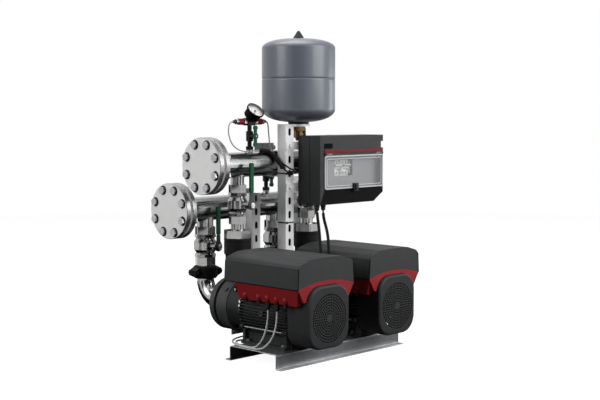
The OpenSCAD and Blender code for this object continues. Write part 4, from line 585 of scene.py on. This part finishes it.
# Leads, each on the route of its solid
ROUTES = {
    "left_sensor_lead": ("lead_grey", 2.3, "loose", "limp", [
        (-190, 223, 821), (-200, 223, 821), (-212, 223, 817), (-221, 222, 800), (-220, 221, 772),
        (-205, 216, 738), (-176, 209, 719), (-130, 205, 716), (-70, 203, 716), (-44, 188, 707),
        (-34, 166, 686), (-27, 146, 670), (-21.5, 130, 660), (-19.3, 119, 654),
        (-14.9, 114.6, 651), (-8.9, 113, 648), (-2.9, 114.6, 645), (1.5, 119, 642.5),
        (3.1, 125, 640.5), (3.1, 133, 639), (3.1, 142, 638.5)]),
    "right_sensor_lead": ("lead_grey", 2.3, "loose", "limp", [
        (-46, 223, 821), (-36, 223, 821), (-28, 223, 816), (-25, 222, 800), (-26, 217, 766),
        (-30, 204, 726), (-29, 185, 703), (-27.5, 162, 675), (-28, 145, 657), (-27.6, 131, 646),
        (-25.5, 119, 639.5), (-21.1, 114.6, 636.5), (-15.1, 113, 634), (-9.1, 114.6, 632),
        (-4.7, 119, 630.5), (-3.1, 125, 629.5), (-3.1, 133, 629), (-3.1, 142, 629)]),
    "back_loop_lead": ("lead_light", 3.0, "loose", "medium", [
        (-299.5, -53, 202), (-299.5, -53, 184), (-302, -47, 130), (-306, -28, 86),
        (-306, 2, 61), (-304, 46, 55.3), (-296, 90, 55.3), (-272, 134, 56),
        (-238, 152, 54), (-195, 156, 50), (-100, 157, 52), (-17, 157.5, 56)]),
    "front_loop_lead": ("lead_light", 3.0, "loose", "medium", [
        (-299.5, -95, 202), (-299.5, -95, 184), (-303, -89, 130), (-309, -68, 86),
        (-312, -36, 62), (-312, 4, 55.3), (-311, 50, 55.3), (-302, 100, 55.3),
        (-276, 147, 58), (-238, 164, 61), (-195, 166, 63), (-100, 163, 72), (-17, 157.5, 76)]),
    "left_power_lead": ("lead_black", 3.2, "hanging", "medium", [
        (58, 55, 508), (58, 55, 496), (46, 38.5, 460), (34, 20.5, 416), (13, -6.5, 343),
        (5, -23, 280), (4.5, -38, 215), (4.5, -44, 178), (0.35, -46, 162.5), (-11, -48, 151.2),
        (-26.5, -49.5, 147), (-42, -51, 151.2), (-53.3, -52, 162.5), (-57.5, -53, 178),
        (-57.5, -53, 190), (-57.5, -53, 202)]),
    "right_power_lead": ("lead_black", 3.2, "hanging", "medium", [
        (90, 55, 508), (90, 55, 500), (87, 51, 485), (77, 38.5, 469), (62, 19, 454),
        (43, -11, 416), (29, -28.5, 372), (23, -38, 320), (12, -55, 260), (0, -73, 212),
        (-6, -84, 178), (-1.75, -87, 162.1), (9.9, -89.5, 150.5), (25.75, -91.5, 146.25),
        (41.6, -93, 150.5), (53.25, -94.5, 162.1), (57.5, -95, 178), (57.5, -95, 190),
        (57.5, -95, 202)]),
}
# Stretches of the leads, from height to height, that run in a black sleeve of some radius
SLEEVES = {
    "left_sensor_lead": (600, 672, 2.9), "right_sensor_lead": (600, 664, 2.9),
    "left_power_lead": (300, 494, 5.4), "right_power_lead": (300, 488, 5.4),
}


def lay_lead(name, key, r, lay, stiffness, route):
    """A lead as a round tube on the spline of its route, and
    its sleeve as a wider tube on the stretch of that route between two heights."""
    path = smooth_route(route)
    piece = tube_piece(name, path, r, FIN[key])
    on_it = []
    if name in SLEEVES:
        low, high, wide = SLEEVES[name]
        stretch = path[(path[:, 2] > low) & (path[:, 2] < high)]
        on_it = [tube_piece(name.replace("lead", "sleeve"), stretch, wide, FIN["lead_black"])]
        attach(on_it[0], "set")
    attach(piece, "set")
    power = key == "lead_black"
    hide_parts("power_leads" if power else "signal_leads")


for lead_name, facts in ROUTES.items():
    lay_lead(lead_name, *facts)


# Tank
def tank_profile():
    """Half section of the tank above its lower end: (R sin(t)^0.77, H (1 - cos(t))), measured up
    from the lower end and down from the upper one, is a dish that turns into the wall in one
    sweep. A shallow rolled seam lies between."""
    low_dish, high_dish = 48, 36
    t = np.linspace(0.06, math.pi / 2, 40)
    across = TANK_R * np.sin(t) ** 0.77
    low = np.stack([across, low_dish * (1 - np.cos(t))], 1)
    seam = TANK_SEAM - TANK_Z0 + np.array([-6, -2.6, -1.8, 0, 1.8, 2.6, 6])
    groove = TANK_R + np.array([0, 0, -1.4, -1.6, -1.4, 0, 0])
    high = np.stack([across, TANK_TOP - TANK_Z0 - high_dish * (1 - np.cos(t))], 1)[::-1]
    return np.concatenate([low, np.stack([groove, seam], 1), high])


def build_tank():
    """Shell with its stub, and neck ring of the tank, as lathe surfaces on its axis; the neck ring takes the
    black cap finish as painted shade.
    """
    foot = (TANK_X, TANK_Y, TANK_Z0)
    stub = [(10, -29), (16.4, -29), (16.4, 8), (10, 8)]
    ring = rounded([(30, -6), (38, -6.8), (38, 6), (30, 7)], 1.5)
    shell = merge("tank_body", [
        lathe_part(tank_profile(), foot, n=160), lathe_part(stub, foot, n=48),
    ], FIN["tank"])
    # Painted shade: the neck ring is black where it lies in shadow.
    neck = merge("tank_neck_painted_shade", [lathe_part(ring, foot)], FIN["cap"])
    for piece in (shell, neck):
        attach(piece, "set")
        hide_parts("tank_shell")


build_tank()


# Small pieces
def fit(piece, body="set"):
    """Lets a new piece ride on a body."""
    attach(piece, body)
    return piece


def rounded_loop(half_x, half_y, corner, n=12):
    """A closed rectangle with round corners: quarter arcs about the four inset corners."""
    a = np.linspace(0, math.pi / 2, n)
    quarter = np.stack([np.cos(a), np.sin(a)], 1) * corner
    turns = np.arange(4) * math.pi / 2
    ahead, aside = np.cos(turns), np.sin(turns)
    spin = np.stack([np.stack([ahead, aside], 1), np.stack([-aside, ahead], 1)], 1)
    middle = np.array([[half_x, half_y], [-half_x, half_y], [-half_x, -half_y], [half_x, -half_y]])
    middle = middle - np.sign(middle) * corner
    return (middle[:, None] + np.einsum("nk,qkj->qnj", quarter, spin)).reshape(-1, 2)


def loop_normals(loop):
    """Unit vectors out of a closed loop, each square to the chord between a point's neighbours."""
    ahead = np.roll(loop, -1, 0) - np.roll(loop, 1, 0)
    out = np.stack([ahead[:, 1], -ahead[:, 0]], 1)
    return out / np.linalg.norm(out, axis=1)[:, None]


def band(loop, z, height, thick):
    """A flat band round a closed loop: the loop at height z, pushed out and in by half the
    thickness and up and down by half the height, as a closed ring of four corners."""
    corners = np.array([(-1, -1), (1, -1), (1, 1), (-1, 1)], float)
    ring = loop[:, None] + corners[None, :, :1] * loop_normals(loop)[:, None] * thick / 2
    level = np.broadcast_to(z + corners[None, :, 1:] * height / 2, (len(loop), 4, 1))
    surface = np.concatenate([ring, level], -1)
    return surface.reshape(-1, 3), grid_faces(len(loop), 4, True, True)


def build_ties():
    """Black cable ties: two round the tank post, with their locking heads."""
    half = POST_HALF + 1.1
    loop = rounded_loop(half, half, 2.5) + np.array([0, TANK_Y])
    head = rounded([(0.4, 0), (4.2, 0), (4.2, 6), (0.4, 6)], 1.2)
    head_x, head_y = -16, TANK_Y - POST_HALF - 6.7
    parts = []
    for z in (634.0, 455.0):
        parts.append(band(loop, z, 4.6, 1.4))
        parts.append(lathe_part(head, (head_x, head_y, z), "y", 24))
    fit(merge("post_ties", parts, FIN["tie"], smooth=False))


def build_wrap():
    """A black spiral wrap on the leads beside the tank post: a tube that follows both leads,
    with the radius 8.2 + 0.6 sin(t), one wave for each 7 mm of its length."""
    step, wave = 1.5, 7.0
    route = [(-84, 204, 717), (-50, 192, 710), (-36, 169, 687), (-31.5, 150, 665), (-30, 143, 652)]
    path = smooth_route(route, step)
    along = np.arange(len(path)) * step
    r = 8.2 + 0.6 * np.sin(along * TURN / wave)
    ring = swept(path, circle_section(1.0, 18))
    surface = path[:, None] + (ring - path[:, None]) * r[:, None, None]
    fit(merge("lead_wrap", [closed_part(surface)], FIN["wrap"]))


def saddle_bead(x, y, z, main_r, branch_r, bead, n=72):
    """A weld bead where a branch meets a pipe along X: the branch's circle laid on the pipe's
    underside, depth = sqrt(main_r^2 - (branch_r sin t)^2), with a small ripple along it."""
    t = np.arange(n) * TURN / n
    path = np.stack([x + branch_r * np.cos(t), y + branch_r * np.sin(t),
                     z - np.sqrt(main_r ** 2 - (branch_r * np.sin(t)) ** 2)], 1)
    away = np.stack([np.cos(t), np.sin(t), np.zeros(n)], 1)
    section = circle_section(1.0, 8)
    size = bead * (1 + 0.12 * np.cos(18 * t))[:, None, None]
    surface = path[:, None] + size * (section[None, :, :1] * away[:, None]
                                      + section[None, :, 1:] * np.array([0, 0, 1.0]))
    return surface.reshape(-1, 3), grid_faces(n, 8, True, True)


def build_welds():
    """Beads at the four branches."""
    bead = 2.2
    branches = ((PORT_Y, DISCHARGE_Z, 24.6), (SUCTION_Y, SUCTION_Z, 30.6))
    parts = [saddle_bead(x, y, z, PIPE_R, r, bead) for x in (-PUMP_X, PUMP_X) for y, z, r in branches]
    fit(merge("branch_welds", parts, FIN["weld"]))


STROKES = {
    "0": [(-1, -1.6), (1, -1.6), (1, 1.6), (-1, 1.6), (-1, -1.6)],
    "1": [(-0.6, 1), (0.2, 1.6), (0.2, -1.6)],
    "2": [(-1, 1.2), (0, 1.6), (1, 1), (-1, -1.6), (1, -1.6)],
    "4": [(0.6, -1.6), (0.6, 1.6), (-1, -0.6), (1, -0.6)],
    "6": [(0.9, 1.5), (-0.8, 0.2), (-0.8, -1.4), (0.8, -1.6), (0.9, -0.2), (-0.8, 0)],
    "8": [(0, 0.1), (0.9, 0.8), (0, 1.6), (-0.9, 0.8), (0, 0.1), (1, -0.8), (0, -1.6), (-1, -0.8),
          (0, 0.1)],
}


def gauge_point(u, v, h):
    """A point on the dial: u to the right, v up the tilted face, h along the gauge's axis."""
    k = math.sqrt(0.5)
    u, v, h = np.broadcast_arrays(u, v, h)
    return GAUGE_BACK + np.stack([u, k * v - k * h, k * v + k * h], -1)


def stroke_part(points, wide, h):
    """A flat stroke through points on the dial: each leg is a quad, wide across."""
    p = np.asarray(points, float)
    leg = np.diff(p, axis=0)
    leg /= np.linalg.norm(leg, axis=1)[:, None]
    across = np.stack([-leg[:, 1], leg[:, 0]], 1) * wide / 2
    reach = leg * wide / 2
    start, end = p[:-1] - reach, p[1:] + reach
    quad = np.stack([start - across, end - across, end + across, start + across], 1)
    faces = np.arange(len(quad) * 4).reshape(-1, 4).tolist()
    return gauge_point(quad[..., 0], quad[..., 1], h).reshape(-1, 3), faces


def build_washers():
    """Plain washers under the heads of the blind flanges' bolts, made dark as painted shadow round
    each head: a small ring section with soft corners turned about each bolt."""
    section = rounded([(9, 0), (17, 0), (17, -1.6), (9, -1.6)], 0.5)
    a = (np.arange(8) + 0.5) * TURN / 8
    ring = BOLT_CIRCLE_R * np.stack([np.cos(a), np.sin(a)], 1)
    parts = []
    for y, z in ((PORT_Y, DISCHARGE_Z), (SUCTION_Y, SUCTION_Z)):
        for dy, dz in ring:
            parts.append(lathe_part(section, (-BLIND_FACE, y + dy, z + dz), "x", 32))
    fit(merge("flange_washers", parts, FIN["washer"]))


def loop_frame(half_x, half_z, corner, centre, section):
    """A frame round a window in the XZ plane: a closed loop of round corners, with a section
    of (outward, depth) pairs carried round it."""
    loop = rounded_loop(half_x, half_z, corner)
    flat = loop[:, None] + section[None, :, :1] * loop_normals(loop)[:, None]
    depth = np.broadcast_to(section[None, :, 1], flat.shape[:2])
    surface = np.stack([centre[0] + flat[..., 0], centre[1] + depth, centre[2] + flat[..., 1]], -1)
    return surface.reshape(-1, 3), grid_faces(len(loop), len(section), True, True)


def build_window_rim():
    """Moulded rim of the clear window: a small rounded bead along its edge, on the outer face,
    and a finer one inside it, both near white and half clear as a painted highlight on its edges."""
    half_x, half_z, inset = 159.5, 58.5, 9.5
    bead = circle_section(1.6, 10) * np.array([1.5, 0.8])
    rims = [
        loop_frame(half_x, half_z, 6, WINDOW_MID, bead),
        loop_frame(half_x - inset, half_z - inset, 4, WINDOW_MID, 0.55 * bead),
    ]
    fit(merge("window_highlight_bead", rims, FIN["rim"]), "window")


def build_lock_plate():
    """Black cover plate at the cabinet's upper corner: a rounded outline drawn back in steps
    as it rises from the face."""
    middle_x, face_y, middle_z = 84, 23.95, 733
    outline = rounded_loop(22, 9.5, 2.5)
    inset = np.array([0, 0, 0.4, 1.2])[:, None, None]
    rise = np.array([0, -0.9, -1.4, -1.6])[:, None]
    flat = outline[None] - np.sign(outline)[None] * inset
    depth = np.broadcast_to(face_y + rise, flat.shape[:2])
    surface = np.stack([middle_x + flat[..., 0], depth, middle_z + flat[..., 1]], -1)
    fit(merge("lock_plate", [closed_part(surface)], FIN["plate"], smooth=False))


def build_dial():
    """Scale of the gauge: 51 strokes over 270 degrees, every fifth one longer, numbers 0 to 10
    by twos, and a fine ring; all of it flat, just above the white dial."""
    h, outer, number_r, digit_step = 28.25, 25.0, 15.6, 3.2
    first, sweep = 225, 270
    parts = []
    for i in range(51):
        a = math.radians(first - sweep * i / 50)
        way = np.array([math.cos(a), math.sin(a)])
        inner, wide = (20.5, 0.9) if i % 5 == 0 else (22.6, 0.45)
        parts.append(stroke_part([way * inner, way * outer], wide, h))
    for i in range(6):
        a = math.radians(first - sweep * i / 5)
        centre = number_r * np.array([math.cos(a), math.sin(a)])
        label = str(2 * i)
        for k, digit in enumerate(label):
            shift = np.array([(k - (len(label) - 1) / 2) * digit_step, 0])
            parts.append(stroke_part(np.array(STROKES[digit]) * 1.15 + centre + shift, 0.7, h))
    t = np.linspace(math.radians(first), math.radians(first - sweep), 60)
    parts.append(stroke_part((outer + 0.2) * np.stack([np.cos(t), np.sin(t)], 1), 0.5, h))
    fit(merge("dial_scale", parts, FIN["mark"], smooth=False))


def half_boss(x, y, z0, z1, r, face, n=20):
    """A half-round boss on a tray's side: a half circle swept up, flat at the back, which
    draws in to a quarter-round dome on top."""
    t = np.linspace(-math.pi / 2, math.pi / 2, n)
    dome = np.linspace(0, 1.52, 7)
    level = np.concatenate([[z0, z1 - r], z1 - r + r * np.sin(dome[1:])])
    size = np.concatenate([[1, 1], np.cos(dome[1:])])
    surface = np.stack([
        x + face * r * size[:, None] * np.cos(t), y + r * size[:, None] * np.sin(t),
        np.repeat(level[:, None], n, 1)], -1)
    return closed_part(surface)


def build_bosses():
    """Bosses above the gland line on both sides of each tray, and blind plugs where no gland sits."""
    plug = rounded([(0.5, 8), (6, 8), (9, 5), (9, 0), (0.5, 0)], 1.2)
    bosses, plugs = [], []
    for pump in (-PUMP_X, PUMP_X):
        for face in (-1, 1):
            side = pump + face * TRAY_SIDE
            for y in BOSS_Y:
                bosses.append(half_boss(side - face * 0.5, y, 218.2, 246, 11, face))
                if y not in GLAND_Y:
                    plugs.append(lathe_part(plug, (side, y, 210.4), "z", 24))
    fit(merge("tray_bosses", bosses, FIN["tray"]))
    fit(merge("blind_plugs", plugs, FIN["gland"]))


def build_hubs():
    """Hub of each butterfly handle: a black ring turned about the stem, and a bright nut whose
    profile is turned on six sides."""
    ring = rounded([(4.4, 2.8), (4.4, -1.2), (8.4, -1.2), (8.4, 0.1), (5.6, 0.1), (5.6, 2.8)], 0.4)
    nut = rounded([(0.3, 2.9), (4.0, 2.9), (4.0, -1.6), (3.4, -2.0), (0.3, -2.0)], 0.3)
    for name, body, place in (("gauge_cock", "gauge_handle", GAUGE_COCK),
                              ("switch_cock", "switch_handle", SWITCH_COCK)):
        fit(merge(name + "_ring", [lathe_part(ring, place, "y", 40)], FIN["tie"]), body)
        hexagon = lathe_part(nut, place, "y", 6)
        fit(merge(name + "_nut", [hexagon], FIN["bolt"], smooth=False), body)


def build_seams():
    """Dark seams of the drive covers: a fine bead along each lower edge and up each front corner."""
    length, height, lean = 353.6, 70.0, 4.0
    bead = circle_section(1.5, 8)
    level = np.linspace(0, 1, 12)[:, None]
    parts = []
    for x in (-PUMP_X, PUMP_X):
        for side in (-1, 1):
            foot = np.array([x + side * COVER_HALF, -COVER_FRONT, COVER_FOOT])
            run = foot + level * np.array([0, length, 0])
            rise = foot + np.array([0, -0.1, 0.4]) + level * np.array([-side * lean, 0, height])
            for path in (run, rise):
                parts.append(closed_part(swept(path, bead)))
    fit(merge("cover_seams", parts, FIN["plate"]))


def build_side_plugs():
    """Ringed plugs half way along the motors' fins: a round collar with a sunk middle, turned
    about an axis across the motor."""
    reach, middle_y = 99, 6
    collar = [(10.2, 14), (10.2, 0.4), (9.4, -0.6), (6.6, -0.6), (5.2, 0.2), (5.2, 2.5), (0.4, 2.5)]
    section = rounded(collar, 0.5)
    parts = [lathe_part(section, (x - reach, middle_y, AXIS_Z), "x", 40) for x in (-PUMP_X, PUMP_X)]
    fit(merge("side_plugs", parts, FIN["casing"]))


def build_clamp_shade():
    """Painted shade in the clamp openings, in two rows across both breakers: shallow dark cups turned about
    Y.
    """
    edge, pole, row = 7.8, 15.2, 18
    cup = rounded([(0.3, -0.1), (1.6, -0.1), (2.0, -0.5), (3.0, -0.5), (3.2, 0.3)], 0.2)
    across = [BREAKER_X + i * BREAKER_PITCH + edge + pole * k for i in (0, 1) for k in (0, 1, 2)]
    parts = [lathe_part(cup, (x, BREAKER_FACE, BREAKER_Z + z), "y", 20)
             for x in across for z in (-row, row)]
    fit(merge("breaker_clamp_shade", parts, FIN["pointer"]))


def build_springs():
    """Springs of the check valves: a wire on the helix (r cos t, r sin t, rise) with five turns,
    closed flat at both ends."""
    low, high, lift, r, wire = 326.1, 396.2, 10.0, 22.0, 1.5
    t = np.linspace(0, 5 * TURN, 181)
    ease = np.clip((t / TURN - 0.5) / 4, 0, 1)
    for i, x in ((1, -PUMP_X), (2, PUMP_X)):
        path = np.stack([x + r * np.cos(t), PORT_Y + r * np.sin(t), low + ease * (high - low)], 1)
        spring = fit(tube_piece(f"spring_{i}", path, wire, FIN["spring"], 10), f"check_{i}")
        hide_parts(f"check_spring_{i}")
        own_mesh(spring)


def build_boot_rings():
    """Bright rings on the transmitters' black ends: a small rounded section turned about X."""
    ring = rounded([(8.4, -1.3), (9.8, -1.3), (9.8, 1.3), (8.4, 1.3)], 0.5)
    parts = [lathe_part(ring, (side * reach - GAUGE_X, PORT_Y, TEE_Z), "x", 40)
             for side in (-1, 1) for reach in (61.5, 67.0)]
    fit(merge("boot_rings", parts, FIN["ball"]))


def build_joint_rings():
    """Dark joint between each casing and its adapter: a thin round bead turned about the shaft."""
    bead = np.array([CASING_R, CASING_FRONT]) + circle_section(1.1, 12)
    parts = []
    for x in (-PUMP_X, PUMP_X):
        ring = turned(bead, (x, 0, AXIS_Z), "y", 96)
        parts.append((ring.reshape(-1, 3), grid_faces(12, 96, True, True)))
    fit(merge("joint_rings", parts, FIN["gasket"]))


build_ties()
build_hubs()
build_joint_rings()
build_boot_rings()
build_springs()
build_seams()
build_side_plugs()
build_clamp_shade()
build_wrap()
build_welds()
build_dial()
build_washers()
build_window_rim()
build_lock_plate()
build_bosses()


# Stage
def soft_box(name, place, aim, size, power):
    """A white rectangular lamp at a place, turned to its aim; lengths in metres, power in watts."""
    data = bpy.data.lights.new(name, "AREA")
    data.shape = "RECTANGLE"
    data.size, data.size_y = size
    data.energy = power
    lamp = bpy.data.objects.new(name, data)
    way = np.asarray(aim, float) - np.asarray(place, float)
    yaw = math.atan2(way[0], way[1])
    pitch = math.atan2(way[2], math.hypot(way[0], way[1]))
    lamp.location = place
    lamp.rotation_euler = (math.pi / 2 + pitch, 0, -yaw)
    bpy.context.collection.objects.link(lamp)


def backdrop_light(nodes, links):
    """One where a camera, mirror or window ray looks at the surround, and zero elsewhere."""
    path = nodes.new("ShaderNodeLightPath")
    first = nodes.new("ShaderNodeMath")
    first.operation = "MAXIMUM"
    links.new(path.outputs["Is Camera Ray"], first.inputs[0])
    links.new(path.outputs["Is Glossy Ray"], first.inputs[1])
    second = nodes.new("ShaderNodeMath")
    second.operation = "MAXIMUM"
    links.new(first.outputs[0], second.inputs[0])
    links.new(path.outputs["Is Transmission Ray"], second.inputs[1])
    return second.outputs[0]


def build_surround():
    """A grey room for light and a white one for sight: strength 1 where it is looked at."""
    world = bpy.data.worlds.new("surround")
    bpy.context.scene.world = world
    world.use_nodes = True
    nodes, links = world.node_tree.nodes, world.node_tree.links
    sky = nodes["Background"]
    level = nodes.new("ShaderNodeMapRange")
    level.inputs["To Min"].default_value = 0.06
    level.inputs["To Max"].default_value = 1.0
    links.new(backdrop_light(nodes, links), level.inputs["Value"])
    sky.inputs["Color"].default_value = (1, 1, 1, 1)
    links.new(level.outputs["Result"], sky.inputs["Strength"])


def build_floor():
    """A disc of 6 m radius, half a millimetre low. Looked at, it is white but keeps the object's
    shadow; as a source of bounced light it is a dark grey, as a floor outside the lamps is."""
    ring = np.linspace(0, 6000, 40)[:, None]
    t = np.arange(64) * TURN / 64
    disc = np.stack([ring * np.cos(t), ring * np.sin(t), np.full((40, 64), -0.5)], -1)
    m = bpy.data.materials.new("floor_white")
    m.use_nodes = True
    nodes, links = m.node_tree.nodes, m.node_tree.links
    bsdf = nodes["Principled BSDF"]
    bsdf.inputs["Roughness"].default_value = 0.8
    bsdf.inputs["Specular IOR Level"].default_value = 0.0
    seen = backdrop_light(nodes, links)
    shade = nodes.new("ShaderNodeMix")
    shade.data_type = "RGBA"
    shade.inputs["A"].default_value = (0.06, 0.06, 0.06, 1)
    shade.inputs["B"].default_value = (0.9, 0.9, 0.9, 1)
    links.new(seen, shade.inputs["Factor"])
    links.new(shade.outputs["Result"], bsdf.inputs["Base Color"])
    glow = nodes.new("ShaderNodeEmission")
    glow.inputs["Strength"].default_value = 1.5
    share = nodes.new("ShaderNodeMapRange")
    share.inputs["To Max"].default_value = 0.62
    mixed = nodes.new("ShaderNodeMixShader")
    links.new(seen, share.inputs["Value"])
    links.new(share.outputs["Result"], mixed.inputs["Fac"])
    links.new(bsdf.outputs["BSDF"], mixed.inputs[1])
    links.new(glow.outputs["Emission"], mixed.inputs[2])
    links.new(mixed.outputs["Shader"], nodes["Material Output"].inputs["Surface"])
    floor = sheet_piece("floor", disc, m, wrap_cols=True)


def flag_finish(level):
    """An even grey for a studio flag: what the metal sees there, from 0, black, to 1, white."""
    m = bpy.data.materials.new("flag_grey")
    m.use_nodes = True
    nodes, links = m.node_tree.nodes, m.node_tree.links
    even = nodes.new("ShaderNodeEmission")
    even.inputs["Strength"].default_value = level
    links.new(even.outputs["Emission"], nodes["Material Output"].inputs["Surface"])
    return m


def studio_flag(name, corner, along, across, level=0.004):
    """A studio flag, seen only in the metal: corner + u * along + v * across."""
    u, v = np.meshgrid(np.linspace(0, 1, 5), np.linspace(0, 1, 5), indexing="ij")
    sheet = np.asarray(corner) + u[..., None] * np.asarray(along) + v[..., None] * np.asarray(across)
    flag = sheet_piece(name, np.asarray(sheet, float), flag_finish(level))
    flag.visible_camera = flag.visible_diffuse = flag.visible_shadow = False
    flag.visible_transmission = False


build_surround()
build_floor()
studio_flag("camera_flag", (-4600, -1700, 0), (2600, -2600, 0), (0, 0, 3400))
studio_flag("floor_flag", (-1500, -1500, 1), (3200, 0, 0), (0, 3200, 0))
studio_flag("upper_flag", (2500, -1800, 1100), (0, 3600, 0), (0, 0, 2600), 0.42)
studio_flag("front_flag", (-400, -3000, 0), (1500, 250, 0), (0, 0, 1000))
studio_flag("left_flag", (-3000, -160, 0), (330, 1520, 0), (0, 0, 1000))
studio_flag("back_flag", (3530, 220, 0), (-3260, 3500, 0), (0, 0, 800))
soft_box("key_box", (1.3, -3.6, 2.2), (0, 0.1, 0.5), (3.0, 3.0), 172)
soft_box("side_box", (-3.4, 0.8, 1.9), (0, 0.1, 0.5), (1.8, 2.2), 64)
soft_box("rim_box", (3.0, -0.7, 1.5), (0.1, 0.1, 0.9), (0.8, 1.8), 22)
soft_box("top_box", (0.1, 0.6, 3.2), (0, 0.1, 0.5), (2.0, 2.0), 52)
bpy.context.scene.view_settings.view_transform = "Standard"
